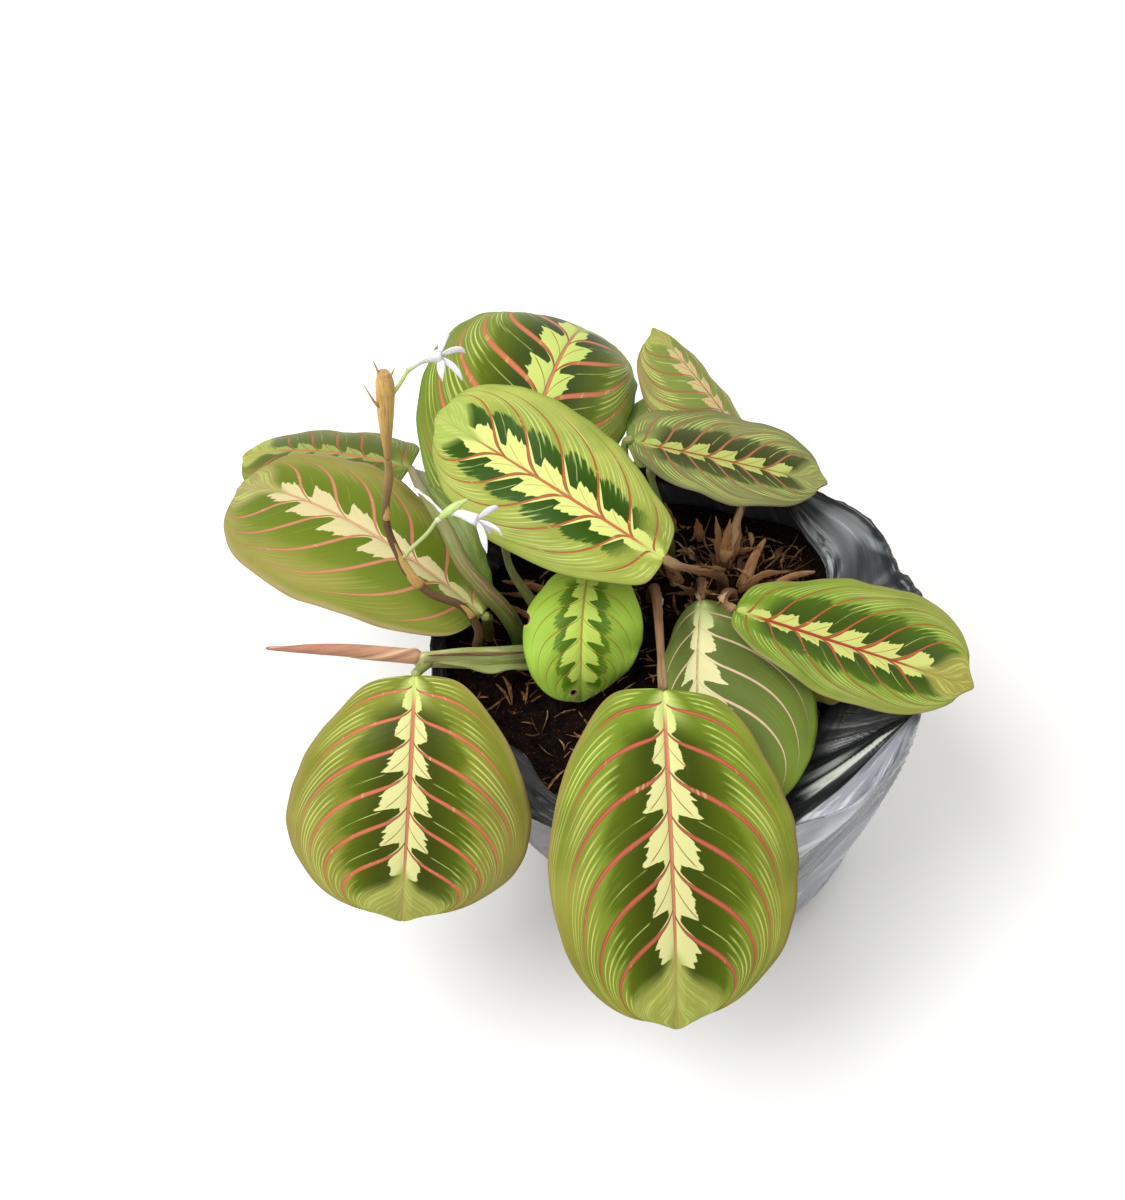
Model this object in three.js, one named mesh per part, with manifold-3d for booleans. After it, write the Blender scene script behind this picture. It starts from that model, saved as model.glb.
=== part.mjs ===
// Potted prayer plant: a low maranta with patterned oval leaves, growing in a crumpled film grow bag.
// Millimetres, +Z up. The origin is the middle of the bag's flat base, and -Y is the front.

import * as THREE from "three";
import Module from "manifold-3d";
import { mergeVertices } from "three/addons/utils/BufferGeometryUtils.js";

const wasm = await Module();
wasm.setup();

// Fit between neighbours
const GAP = 0.3;

// Film grow bag
const FILM = 1.2; // thickness of the film wall with its folds
const BASE_RADIUS = 61;
const FLAT_RADIUS = 56; // the bag stands on a flat disc of this radius
const RIM_RADIUS = 81;
const RIM_OVAL = 4; // the rim is wider left to right than front to back
const RIM_CENTRE = [-12, -2]; // the filled bag leans this far by its rim
const RIM_HEIGHT = 115;
const RIM_TILT = 6; // the rim stands higher at the back right than at the front left
const RIM_LOW_TURN = 0.8;
const PLEAT = 1.6; // depth of the long upright folds
const CREASE = 0.8; // depth of the narrow folds between them
const BAG_SIDES = 48;
const WALL_LEVELS = 6;
const CHAMFER_LEVEL = 0.045; // share of the height where the base's rounded edge ends

// Film folded in over the soil: where it is, how wide that stretch is, and how long the flap is
const FLAP_LENGTH = 30;
const FLAP_FLOOR = 101.8;
const FLAP_LEAST = 0.08;
const FLAPS = [
  { turn: 0.21, spread: 0.6, size: 1 },
  { turn: -2.4, spread: 0.5, size: 0.5 },
];

// Soil
const SOIL_TOP = 99;
const SOIL_LUMP = 0.8;
const SOIL_RINGS = [0.93, 0.78, 0.6, 0.42, 0.22];
const CROWN = [0, 30]; // where most leaves rise from a low mound
const MOUND = 1.6;
const MOUND_SPREAD = 24;
const HOLE_FLOOR = 89.7;
const HOLE_SLACK = 0.5;
const HOLE_SIDES = 8;

// Leaves
const BLADE = 0.8; // thickness of a blade
const BASE_ANGLE = 0.08; // the outline runs from here at the stalk
const TIP_ANGLE = Math.PI - 0.015; // to here at the tip
const WAVES = 3; // waves along a margin

// Leaf stalks
const STALK_FOOT = 90;
const STALK_STRAIGHT = 102; // a stalk stands upright up to this height
const STALK_SIDES = 6;
const STALK_STEPS = 9;
const STALK_TIP_RADIUS = 1.2;
const JOINT_SWELLING = 0.4; // the thicker joint just below a blade
const JOINT_GAP = 0.7; // between that joint and the blade

const DEG = Math.PI / 180;
const UP = new THREE.Vector3(0, 0, 1);

const COLOURS = {
  film: 0x1b1d1f,
  soil: 0x1e130b,
  green: 0x5f8f2c,
  bright: 0x9cc24c,
  dark: 0x3c6a34,
  dull: 0x66784a,
  old: 0x9aa044,
  stalk: 0x76804a,
  brown: 0x6b4a2e,
  ochre: 0xb8904a,
  straw: 0xa88860,
  rolled: 0xb0805f,
  sheath: 0x7d9150,
  petal: 0xf2f4f0,
};

// What a blade has unless its own row says otherwise. Angles are in degrees. A blade leaves its stalk
// at base, going along heading and climbing by rise[0]; it veers and bends evenly to rise[1] at the tip.
// roll lifts its left side, at the base and the tip. width and fold are the left half's, then the
// right half's: a half leaves the midrib at its fold, and turns down by curl on the way to the margin.
// rows is how many facets it has from stalk to tip, and columns how many from midrib to margin.
const PLAIN_BLADE = {
  veer: 0, fold: [5, 5], curl: 25, skew: 0, full: 0.9, ear: 2, tip: 3, wave: 1, phase: 0, ragged: 0,
  rows: 13, columns: 3,
};

// Stalks that wind their way up between the others
const RIGHT_ROUTE = [[8, 20, 102], [8, 19, 113], [6, 15, 121], [3.6, 10.5, 124.8], [3.9, 6.6, 126.2],
  [6.3, 4.3, 126.1]];
const LEFT_ROUTE = [[-77, 12, 102], [-77, 10, 112], [-76, 6, 119], [-77.2, 4.2, 122.4]];

// A stalk stands in the soil at root and comes up to its blade from reach behind it, or along its route
const LEAF_ROWS = [
  { name: "front", base: [-19, -35, 138], heading: -89, veer: 3, rise: [-3, -54], roll: [-9, -7],
    length: 109, width: [42, 38], curl: 22, skew: -0.08, full: 0.95, ear: 3, wave: 1.5,
    stalk: { root: [-19, 27], reach: 22, foot: 2.6 }, colour: "green" },
  { name: "front_left", base: [-98, -31, 140], heading: -91, veer: -10, rise: [-25, -66], roll: [15, -12],
    length: 84, width: [39, 40], skew: -0.18, full: 0.95, wave: 1.5, phase: 1, colour: "green" },
  { name: "middle", base: [-18, 8, 150], heading: 156, veer: -26, rise: [25, -20], roll: [3, -42],
    length: 99, width: [26, 27], ear: 3, full: 0.86,
    stalk: { root: [6, 27], reach: 12, foot: 2.4 }, colour: "bright" },
  { name: "left", base: [-78, 4, 124], heading: 146, veer: -4, rise: [25, -38], roll: [15, -10],
    length: 118, width: [35, 27], phase: 2,
    stalk: { root: [-77, 12], foot: 2.4, route: LEFT_ROUTE }, colour: "green" },
  { name: "right", base: [7, 4, 126], heading: -22, veer: -4, rise: [1, 5], roll: [-18, 20],
    length: 82, width: [28, 21], fold: [12, 12], phase: 1,
    stalk: { root: [8, 20], foot: 2.4, route: RIGHT_ROUTE }, colour: "green" },
  { name: "back_right", base: [-27, 58, 150], heading: -4, veer: -3, rise: [-13, -12], roll: [-6, 0],
    length: 70, width: [24, 18], fold: [8, 8],
    stalk: { root: [-22, 44], reach: 7, foot: 2.2 }, colour: "dull" },
  { name: "dark", base: [-4, 12, 121], heading: -97, veer: 12, rise: [8, -24], roll: [-4, -4],
    length: 89, width: [41, 18], fold: [4, -40], curl: 20, full: 1.05, ear: 1,
    stalk: { root: [-2, 30], reach: 8, foot: 2.2 }, colour: "dark" },
  { name: "small", base: [-42, 18, 130], heading: -100, veer: 15, rise: [15, -85], roll: [12, -15],
    length: 51, width: [21, 20], curl: 30, tip: 2, rows: 10,
    stalk: { root: [-38, 40], reach: 10, foot: 2 }, colour: "bright" },
  { name: "back", base: [-70, 31, 130], heading: 74, rise: [50, -62], roll: [18, 12],
    length: 130, width: [46, 34], fold: [0, 0], curl: 40, wave: 1.5,
    stalk: { root: [-60, 18], reach: 12, foot: 2.6 }, colour: "green" },
  { name: "curled", base: [14, 73, 131], heading: 128, rise: [27, 6], roll: [0, 0],
    length: 55, width: [22, 12], fold: [10, -25], curl: 30, rows: 10,
    stalk: { root: [7, 41], reach: 10, foot: 2 }, colour: "dull" },
  { name: "back_left", base: [-106, 69, 122], heading: 160, rise: [0, -35], roll: [8, 8],
    length: 74, width: [24, 28], fold: [0, 0], curl: 50, colour: "green" },
  { name: "pale", base: [-20, 61, 132], heading: 88, rise: [8, -25], roll: [0, 0],
    length: 40, width: [9, 9], curl: 30, rows: 8, columns: 2,
    stalk: { root: [-12, 46], reach: 8, foot: 1.8 }, colour: "bright" },
  { name: "old", base: [12, 1, 106], heading: -25, rise: [3, 0], roll: [0, 0],
    length: 42, width: [13, 13], curl: 15, ragged: 0.14, rows: 12, columns: 2,
    stalk: { root: [6, 11], reach: 3, foot: 1.6 }, colour: "old" },
];
const LEAVES = LEAF_ROWS.map((row) => ({ ...PLAIN_BLADE, ...row }));

// The left shoot's green leaf sheath, which runs on as the back left leaf's stalk
const SHEATH_ROUTE = [
  [-66, 9, 101], [-68, 8, 112], [-71, 7, 122], [-77, 7, 134], [-84, 12, 142],
  [-90, 23, 147], [-96, 36, 144], [-101, 51, 135], [-105.2, 67.4, 123.4],
];

// The front left leaf's winged sheath, with a new leaf still rolled up in its mouth
const WING_ROUTE = [[-56, 2, 101], [-63, -2, 107], [-74, -10, 118], [-86, -17, 129], [-97, -24, 139]];
const WING_ARM = [[-94, -24, 137], [-97, -28.3, 138.8], [-97.8, -30.2, 139.8]];
const ROLLED_ROUTE = [[-98.5, -23.6, 140.2], [-121, -26.5, 148], [-143, -29, 153]];

// Flowering shoot
const STALK_ROUTE = [
  [-80, 0, 101], [-80, -3, 115], [-79, -4, 126], [-84, -2, 137], [-94, -1, 143], [-101, 3, 149],
  [-104, 6, 155], [-107, 10, 163], [-107, 12, 173], [-105, 14, 186], [-105, 15, 192],
];
const BRACT_ROUTE = [[-105, 15.1, 192.6], [-104.6, 19, 206], [-104, 22, 219], [-104, 23, 223]];
const BRACT_SPIKES = [
  [[-105, 20, 210], [-107, 18.6, 214], [-110.5, 22, 219]],
  [[-104, 21.5, 218], [-107, 24, 227]],
  [[-104, 21.5, 218], [-100.5, 22, 226]],
];
const UPPER_PEDICEL = [[-102, 23.6, 213], [-100, 28, 213], [-98, 32, 214]];
const UPPER_TUBE = [[-98, 32, 214], [-94, 36, 214], [-89, 39, 213]];
const UPPER_PETALS = [[-86, 46, 217], [-81, 42, 212], [-82, 36, 206], [-88, 34, 208]];
const LOWER_PEDICEL = [[-102.1, 4.6, 155.4], [-99, 6, 159], [-94, 7, 165], [-91, 8, 170]];
const LOWER_TUBE = [[-91, 8, 170], [-86, 10, 172], [-78, 7, 172]];
const LOWER_PETALS = [[-71, 9, 176], [-70, 3, 170], [-75, 0, 165], [-74, 8, 164]];
const LOWER_FILAMENT = [[-88, 9, 171], [-93, 12, 176], [-98, 15, 178]];

// Dry leaf bases standing round the crown and the left shoot
const DRY_ROUTES = [
  [[-10, 33, 101], [-13, 37, 106], [-16.5, 42.5, 109]],
  [[14, 33, 101], [17, 40, 105], [22, 49, 106]],
  [[23, 29, 101], [29, 33, 104], [39, 36, 104]],
  [[-55, 28, 101], [-61, 28, 106], [-72, 29, 108]],
];

function vector(point) {
  return new THREE.Vector3(...point);
}

function materialOf(colour, roughness = 0.6) {
  return new THREE.MeshStandardMaterial({ color: COLOURS[colour], roughness, metalness: 0 });
}

function geometryOf(positions, triangles) {
  const geometry = new THREE.BufferGeometry();
  geometry.setAttribute("position", new THREE.Float32BufferAttribute(positions, 3));
  geometry.setIndex(triangles);
  return geometry;
}

function nodeOf(name, geometry, colour, roughness) {
  const mesh = new THREE.Mesh(geometry, materialOf(colour, roughness));
  mesh.name = name;
  return mesh;
}

// A closed mesh as a solid that can be joined or cut
function solidOf(geometry) {
  const bare = geometry.clone();
  bare.deleteAttribute("normal");
  bare.deleteAttribute("uv");
  const merged = mergeVertices(bare);
  const vertProperties = new Float32Array(merged.attributes.position.array);
  const triVerts = new Uint32Array(merged.index.array);
  return new wasm.Manifold(new wasm.Mesh({ numProp: 3, vertProperties, triVerts }));
}

function geometryOfSolid(solid) {
  const mesh = solid.getMesh();
  return geometryOf(Array.from(mesh.vertProperties), Array.from(mesh.triVerts));
}

function joined(geometries) {
  const whole = geometries.map(solidOf).reduce((sum, next) => sum.add(next));
  return geometryOfSolid(whole);
}

// A closed skin from one profile for each turn round the Z axis. Every profile starts at the same
// lower pole and ends at the same upper pole.
function skinOf(profiles) {
  const steps = profiles[0].length - 2;
  const positions = [...profiles[0][0].toArray(), ...profiles[0][steps + 1].toArray()];
  const triangles = [];
  const at = (side, step) => 2 + (side % profiles.length) * steps + step;
  for (const profile of profiles) {
    for (const point of profile.slice(1, -1)) positions.push(...point.toArray());
  }
  for (let side = 0; side < profiles.length; side += 1) {
    triangles.push(0, at(side + 1, 0), at(side, 0));
    for (let step = 0; step + 1 < steps; step += 1) {
      triangles.push(at(side, step), at(side + 1, step), at(side + 1, step + 1));
      triangles.push(at(side, step), at(side + 1, step + 1), at(side, step + 1));
    }
    triangles.push(1, at(side, steps - 1), at(side + 1, steps - 1));
  }
  return geometryOf(positions, triangles);
}

// A closed tube through rings of points that all run anticlockwise about its direction
function loftOf(rings) {
  const sides = rings[0].length;
  const positions = [];
  const triangles = [];
  const last = rings.length - 1;
  for (const point of rings.flat()) positions.push(...point.toArray());
  const at = (ring, side) => ring * sides + (side % sides);
  for (const ring of [0, last]) {
    const middle = rings[ring].reduce((sum, point) => sum.add(point), new THREE.Vector3());
    positions.push(...middle.divideScalar(sides).toArray());
  }
  const startMiddle = rings.length * sides;
  for (let side = 0; side < sides; side += 1) {
    triangles.push(startMiddle, at(0, side + 1), at(0, side));
    triangles.push(startMiddle + 1, at(last, side), at(last, side + 1));
    for (let ring = 0; ring < last; ring += 1) {
      triangles.push(at(ring, side), at(ring, side + 1), at(ring + 1, side + 1));
      triangles.push(at(ring, side), at(ring + 1, side + 1), at(ring + 1, side));
    }
  }
  return geometryOf(positions, triangles);
}

// A tube along points. radiusAt gives its radius at a share of its length, and flat squeezes the
// section across the first side direction, which is carried along without twisting.
function tubeOf(points, radiusAt, sides = STALK_SIDES, flat = 1, firstSide = new THREE.Vector3(0, 1, 0)) {
  const side = firstSide.clone();
  const rings = points.map((point, index) => {
    const before = points[Math.max(index - 1, 0)];
    const after = points[Math.min(index + 1, points.length - 1)];
    const along = after.clone().sub(before).normalize();
    side.addScaledVector(along, -side.dot(along)).normalize();
    const across = along.clone().cross(side);
    const radius = radiusAt(index / (points.length - 1));
    return Array.from({ length: sides }, (_, corner) => {
      const turn = (2 * Math.PI * corner) / sides;
      return point.clone()
        .addScaledVector(side, radius * flat * Math.cos(turn))
        .addScaledVector(across, radius * Math.sin(turn));
    });
  });
  return loftOf(rings);
}

function curveThrough(route, steps) {
  return new THREE.CatmullRomCurve3(route.map(vector), false, "centripetal").getPoints(steps);
}

// The foot of everything that stands in the soil is a straight upright stretch
function withFoot(points) {
  const foot = points[0].clone().setZ(STALK_FOOT);
  return [foot, ...points];
}

// Bag and soil

function rimHeight(turn) {
  return RIM_HEIGHT + RIM_TILT * Math.sin(turn + RIM_LOW_TURN);
}

function crumple(turn, level) {
  const pleat = PLEAT * Math.sin(7 * turn + 1.6 * Math.sin(2 * turn) + 1.5 * level);
  const crease = CREASE * Math.sin(13 * turn - 6 * level);
  return level * (pleat + crease);
}

// A point of the film wall, at a turn and a share of the height, moved in by inset
function filmPoint(turn, level, inset) {
  const rim = RIM_RADIUS + RIM_OVAL * Math.cos(2 * turn);
  const radius = THREE.MathUtils.lerp(BASE_RADIUS, rim, level) + crumple(turn, level) - inset;
  const x = RIM_CENTRE[0] * level + radius * Math.cos(turn);
  const y = RIM_CENTRE[1] * level + radius * Math.sin(turn);
  return new THREE.Vector3(x, y, rimHeight(turn) * level);
}

// How much of the flap's full length the film is folded in by
function flapShare(turn) {
  const share = FLAPS.reduce((sum, flap) => {
    const away = Math.atan2(Math.sin(turn - flap.turn), Math.cos(turn - flap.turn));
    return sum + flap.size * Math.exp(-((away / flap.spread) ** 2));
  }, 0);
  return Math.max(FLAP_LEAST, share * (1 + 0.12 * Math.sin(9 * turn)));
}

// A point on the flap, part of the way from the rim to its free edge
function flapPoint(turn, part) {
  const share = flapShare(turn);
  const point = filmPoint(turn, 1, part * share * FLAP_LENGTH);
  const drop = part * Math.min(share, 1) * (rimHeight(turn) - FLAP_FLOOR);
  return point.setZ(rimHeight(turn) - drop);
}

function flatPoint(turn, radius, height) {
  return new THREE.Vector3(radius * Math.cos(turn), radius * Math.sin(turn), height);
}

// The levels that the film wall and the soil share, so that their facets run side by side
function wallLevels(turn) {
  const top = SOIL_TOP / rimHeight(turn);
  return Array.from({ length: WALL_LEVELS }, (_, step) =>
    THREE.MathUtils.lerp(CHAMFER_LEVEL, top, step / (WALL_LEVELS - 1)));
}

function turns() {
  return Array.from({ length: BAG_SIDES }, (_, side) => (2 * Math.PI * side) / BAG_SIDES);
}

function bagGeometry() {
  const profiles = turns().map((turn) => {
    const levels = wallLevels(turn);
    const joint = 1 - (1.4 * FILM) / rimHeight(turn);
    const under = [0.5, 1].map((part) => flapPoint(turn, part).sub(new THREE.Vector3(0, 0, FILM)));
    return [
      new THREE.Vector3(0, 0, 0),
      flatPoint(turn, FLAT_RADIUS, 0),
      ...levels.map((level) => filmPoint(turn, level, 0)),
      filmPoint(turn, 1, 0),
      flapPoint(turn, 0.5),
      flapPoint(turn, 1),
      under[1],
      under[0],
      filmPoint(turn, joint, FILM),
      ...levels.reverse().map((level) => filmPoint(turn, level, FILM)),
      flatPoint(turn, FLAT_RADIUS - FILM, FILM),
      new THREE.Vector3(0, 0, FILM),
    ];
  });
  return skinOf(profiles);
}

function soilHeight(x, y, share) {
  const lumps = SOIL_LUMP * (Math.sin(x / 9) * Math.cos(y / 11) + 0.6 * Math.sin(x / 5 + y / 4));
  const away = Math.hypot(x - CROWN[0], y - CROWN[1]) / MOUND_SPREAD;
  return SOIL_TOP + (lumps + MOUND * Math.exp(-away * away)) * (1 - share * share);
}

function soilGeometry(stems) {
  const inset = FILM + 3 * GAP;
  const profiles = turns().map((turn) => {
    const levels = wallLevels(turn);
    const edge = filmPoint(turn, levels[levels.length - 1], inset);
    const middle = new THREE.Vector3(RIM_CENTRE[0], RIM_CENTRE[1], SOIL_TOP);
    const top = SOIL_RINGS.map((share) => {
      const point = middle.clone().lerp(edge, share);
      return point.setZ(soilHeight(point.x, point.y, share));
    });
    return [
      new THREE.Vector3(0, 0, FILM + GAP),
      flatPoint(turn, FLAT_RADIUS - 3 * FILM, FILM + GAP),
      ...levels.map((level) => filmPoint(turn, level, inset)),
      ...top,
      middle.clone().setZ(soilHeight(middle.x, middle.y, 0)),
    ];
  });
  const holes = stems.map(({ root, foot }) => {
    const points = [vector([...root, HOLE_FLOOR]), vector([...root, SOIL_TOP + 9])];
    return solidOf(tubeOf(points, () => foot + HOLE_SLACK, HOLE_SIDES));
  });
  const ground = holes.reduce((rest, hole) => rest.subtract(hole), solidOf(skinOf(profiles)));
  return geometryOfSolid(ground);
}

// Leaf blades

// The running sum of the cosine of an angle that grows evenly from start, by turn over the whole way
function runOf(start, turn, t) {
  if (Math.abs(turn) < 1e-6) return t * Math.cos(start);
  return (Math.sin(start + turn * t) - Math.sin(start)) / turn;
}

// Where the midrib is at a share of its length, and its directions along, to the left and up
function midribAt(leaf, t) {
  const rise = leaf.rise[0] * DEG;
  const bend = (leaf.rise[1] - leaf.rise[0]) * DEG;
  const heading = leaf.heading * DEG;
  const veer = leaf.veer * DEG;
  const half = leaf.length / 2;
  const quarter = Math.PI / 2;
  const point = vector(leaf.base).add(new THREE.Vector3(
    half * (runOf(rise + heading, bend + veer, t) + runOf(rise - heading, bend - veer, t)),
    half * (runOf(rise + heading - quarter, bend + veer, t)
      - runOf(rise - heading - quarter, bend - veer, t)),
    leaf.length * runOf(rise - quarter, bend, t),
  ));
  const pitch = rise + bend * t;
  const way = heading + veer * t;
  const along = new THREE.Vector3(
    Math.cos(pitch) * Math.cos(way), Math.cos(pitch) * Math.sin(way), Math.sin(pitch));
  const roll = THREE.MathUtils.lerp(leaf.roll[0], leaf.roll[1], t) * DEG;
  const left = new THREE.Vector3(-Math.sin(way), Math.cos(way), 0).applyAxisAngle(along, roll);
  const up = along.clone().cross(left);
  return { point, along, left, up };
}

// The margin of the flat blade at an angle from 0 at the stalk to PI at the tip: how far along it is,
// and what share of the half width it stands out by
function marginAt(leaf, angle) {
  const nearTip = THREE.MathUtils.clamp(1 - (Math.PI - angle) / 0.3, 0, 1);
  const earRise = Math.sin(Math.min(angle / 0.5, 1) * Math.PI / 2);
  const ear = leaf.ear * Math.exp(-(((angle - 0.5) / 0.28) ** 2)) * earRise;
  const along = (leaf.length - leaf.tip) / 2 * (1 - Math.cos(angle)) - ear + leaf.tip * nearTip ** 2;
  const torn = 1 - leaf.ragged * (1 + Math.sin(9 * angle + 1)) / 2;
  const out = Math.sin(angle) ** leaf.full * (1 + leaf.skew * Math.cos(angle)) * torn;
  return { along, out: out * (1 - 0.7 * nearTip * (1 - nearTip)) };
}

// A point of the blade. angle runs from the stalk to the tip and across from the midrib, 0, to the
// left margin, 1, or the right one, -1. lift moves it off the middle of the blade's thickness.
function bladePoint(leaf, angle, across, lift) {
  const margin = marginAt(leaf, angle);
  const share = Math.abs(across);
  const side = across < 0 ? -1 : 1;
  const half = leaf.width[side > 0 ? 0 : 1];
  const midribAlong = leaf.length / 2 * (1 - Math.cos(angle));
  const t = THREE.MathUtils.lerp(midribAlong, margin.along, share) / leaf.length;
  const reach = share * margin.out * half;
  const fold = leaf.fold[side > 0 ? 0 : 1] * DEG;
  const curl = leaf.curl * DEG / half;
  const slope = fold - curl * reach;
  const sideways = (Math.sin(fold) - Math.sin(slope)) / curl;
  const swing = 2 * Math.PI * WAVES * t + leaf.phase + (side > 0 ? 0 : 1.3);
  const wave = leaf.wave * (reach / half) ** 2 * Math.sin(swing);
  const height = (Math.cos(slope) - Math.cos(fold)) / curl + wave;
  const tilt = share === 0 ? 0 : slope;
  const { point, left, up } = midribAt(leaf, t);
  return point
    .addScaledVector(left, side * (sideways - lift * Math.sin(tilt)))
    .addScaledVector(up, height + lift * Math.cos(tilt));
}

function bladeGeometry(leaf) {
  const { rows } = leaf;
  const columns = 2 * leaf.columns + 1;
  const positions = [];
  const triangles = [];
  for (const lift of [BLADE / 2, -BLADE / 2]) {
    for (let row = 0; row <= rows; row += 1) {
      const angle = THREE.MathUtils.lerp(BASE_ANGLE, TIP_ANGLE, row / rows);
      for (let column = 0; column < columns; column += 1) {
        const across = column / leaf.columns - 1;
        positions.push(...bladePoint(leaf, angle, across, lift).toArray());
      }
    }
  }
  const under = (rows + 1) * columns;
  const at = (row, column) => row * columns + column;
  for (let row = 0; row < rows; row += 1) {
    for (let column = 0; column + 1 < columns; column += 1) {
      const [a, b] = [at(row, column), at(row + 1, column)];
      const [c, d] = [at(row + 1, column + 1), at(row, column + 1)];
      triangles.push(a, b, c, a, c, d);
      triangles.push(under + a, under + c, under + b, under + a, under + d, under + c);
    }
  }
  const rim = [];
  for (let column = 0; column < columns; column += 1) rim.push(at(0, column));
  for (let row = 1; row <= rows; row += 1) rim.push(at(row, columns - 1));
  for (let column = columns - 2; column >= 0; column -= 1) rim.push(at(rows, column));
  for (let row = rows - 1; row > 0; row -= 1) rim.push(at(row, 0));
  rim.forEach((here, index) => {
    const next = rim[(index + 1) % rim.length];
    triangles.push(here, next, under + next, here, under + next, under + here);
  });
  return geometryOf(positions, triangles);
}

// Stalks and sheaths

function stalkRadius(foot) {
  return (share) => {
    const taper = STALK_TIP_RADIUS + (foot - STALK_TIP_RADIUS) * (1 - share) ** 1.5;
    return share > 0.9 ? taper + JOINT_SWELLING : taper;
  };
}

function stalkPoints(leaf) {
  const { root, reach, route } = leaf.stalk;
  if (route) return curveThrough(route, STALK_STEPS);
  const { along } = midribAt(leaf, 0);
  const end = vector(leaf.base).addScaledVector(along, -JOINT_GAP);
  const start = vector([...root, STALK_STRAIGHT]);
  const climb = 0.45 * (end.z - start.z);
  const bend = new THREE.CubicBezierCurve3(
    start, start.clone().addScaledVector(UP, climb), end.clone().addScaledVector(along, -reach), end);
  return bend.getPoints(STALK_STEPS);
}

function stalkGeometry(leaf) {
  return tubeOf(withFoot(stalkPoints(leaf)), stalkRadius(leaf.stalk.foot));
}

function sheathRadius(share) {
  return share < 0.55 ? 2.6 + 0.5 * Math.sin(share / 0.55 * Math.PI) : 2.6 - 1.2 * (share - 0.55) / 0.45;
}

function wingRadius(share) {
  return 3.2 + 1.6 * Math.sin(Math.min(share * 1.1, 1) * Math.PI);
}

function rolledRadius(share) {
  return 2.6 * (1 - share) + 0.6 * share + 0.5 * Math.sin(share * Math.PI);
}

function dryRadius(share) {
  return 2.4 * (1 - share) ** 0.7 + 0.7;
}

function wingGeometry() {
  const sheath = tubeOf(withFoot(curveThrough(WING_ROUTE, 10)), wingRadius, 8, 0.8);
  const arm = tubeOf(curveThrough(WING_ARM, 3), () => STALK_TIP_RADIUS + JOINT_SWELLING);
  return joined([sheath, arm]);
}

// Flowers

function petalGeometry(start, end, width) {
  const points = curveThrough([start, end], 4);
  return tubeOf(points, (share) => 0.5 + width * Math.sin(0.15 + share * 2.6), 6, 0.4);
}

function flowerGeometry(pedicel, tube, petals, filaments) {
  const mouth = tube[tube.length - 1];
  const pieces = [
    tubeOf(curveThrough(pedicel, 4), () => 0.7),
    tubeOf(curveThrough(tube, 5), (share) => 1.1 + 1.3 * share, 7),
    ...petals.map((tip) => petalGeometry(mouth, tip, 1.9)),
    ...filaments.map((route) => tubeOf(curveThrough(route, 4), (share) => 0.9 - 0.4 * share, 5)),
  ];
  return joined(pieces);
}

function bractGeometry() {
  const body = tubeOf(curveThrough(BRACT_ROUTE, 7), (share) => 1 + 2.5 * Math.sin(0.2 + share * 2.5), 7);
  const spikes = BRACT_SPIKES.map((route) =>
    tubeOf(curveThrough(route, 3), (share) => 1.1 - 0.7 * share, 5));
  return joined([body, ...spikes]);
}

// What stands in the soil, with the radius of its foot
const stems = [
  ...LEAVES.filter((leaf) => leaf.stalk).map(({ stalk }) => ({ root: stalk.root, foot: stalk.foot })),
  { root: SHEATH_ROUTE[0].slice(0, 2), foot: sheathRadius(0.1) },
  { root: WING_ROUTE[0].slice(0, 2), foot: wingRadius(0.1) },
  { root: STALK_ROUTE[0].slice(0, 2), foot: 1.5 },
  ...DRY_ROUTES.map((route) => ({ root: route[0].slice(0, 2), foot: dryRadius(0) })),
];

const plant = new THREE.Group();
plant.add(nodeOf("bag", bagGeometry(), "film", 0.35));
plant.add(nodeOf("soil", soilGeometry(stems), "soil", 0.95));
for (const leaf of LEAVES) {
  plant.add(nodeOf(`leaf_${leaf.name}`, bladeGeometry(leaf), leaf.colour, 0.5));
  if (leaf.stalk) plant.add(nodeOf(`stalk_${leaf.name}`, stalkGeometry(leaf), "stalk", 0.6));
}
plant.add(nodeOf("stalk_back_left",
  tubeOf(withFoot(curveThrough(SHEATH_ROUTE, 14)), sheathRadius), "sheath"));
plant.add(nodeOf("sheath_front_left", wingGeometry(), "sheath"));
plant.add(nodeOf("leaf_rolled", tubeOf(curveThrough(ROLLED_ROUTE, 8), rolledRadius, 8), "rolled"));
plant.add(nodeOf("flower_stalk",
  tubeOf(withFoot(curveThrough(STALK_ROUTE, 20)), (share) => 1.5 - 0.3 * share), "brown"));
plant.add(nodeOf("flower_bract", bractGeometry(), "ochre"));
plant.add(nodeOf("flower_upper", flowerGeometry(UPPER_PEDICEL, UPPER_TUBE, UPPER_PETALS, []), "petal"));
plant.add(nodeOf("flower_lower",
  flowerGeometry(LOWER_PEDICEL, LOWER_TUBE, LOWER_PETALS, [LOWER_FILAMENT]), "petal"));
DRY_ROUTES.forEach((route, index) => {
  const strip = tubeOf(withFoot(curveThrough(route, 6)), dryRadius, 6, 0.45);
  plant.add(nodeOf(`dry_base_${index + 1}`, strip, "straw", 0.8));
});

export default plant;
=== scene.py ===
# %% [markdown]
# # A potted prayer plant
#
# This notebook dresses a measured model of a low prayer plant in its looks. The measured model is made of
# plain solids: one for each leaf, stalk and flower, one for the soil and one for the film grow bag.
# Here each of them is replaced by a finer piece that keeps its form, and gets a material made of nodes.

import math
from types import SimpleNamespace

import bpy
import numpy as np
from mathutils import Matrix, Vector, noise


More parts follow.
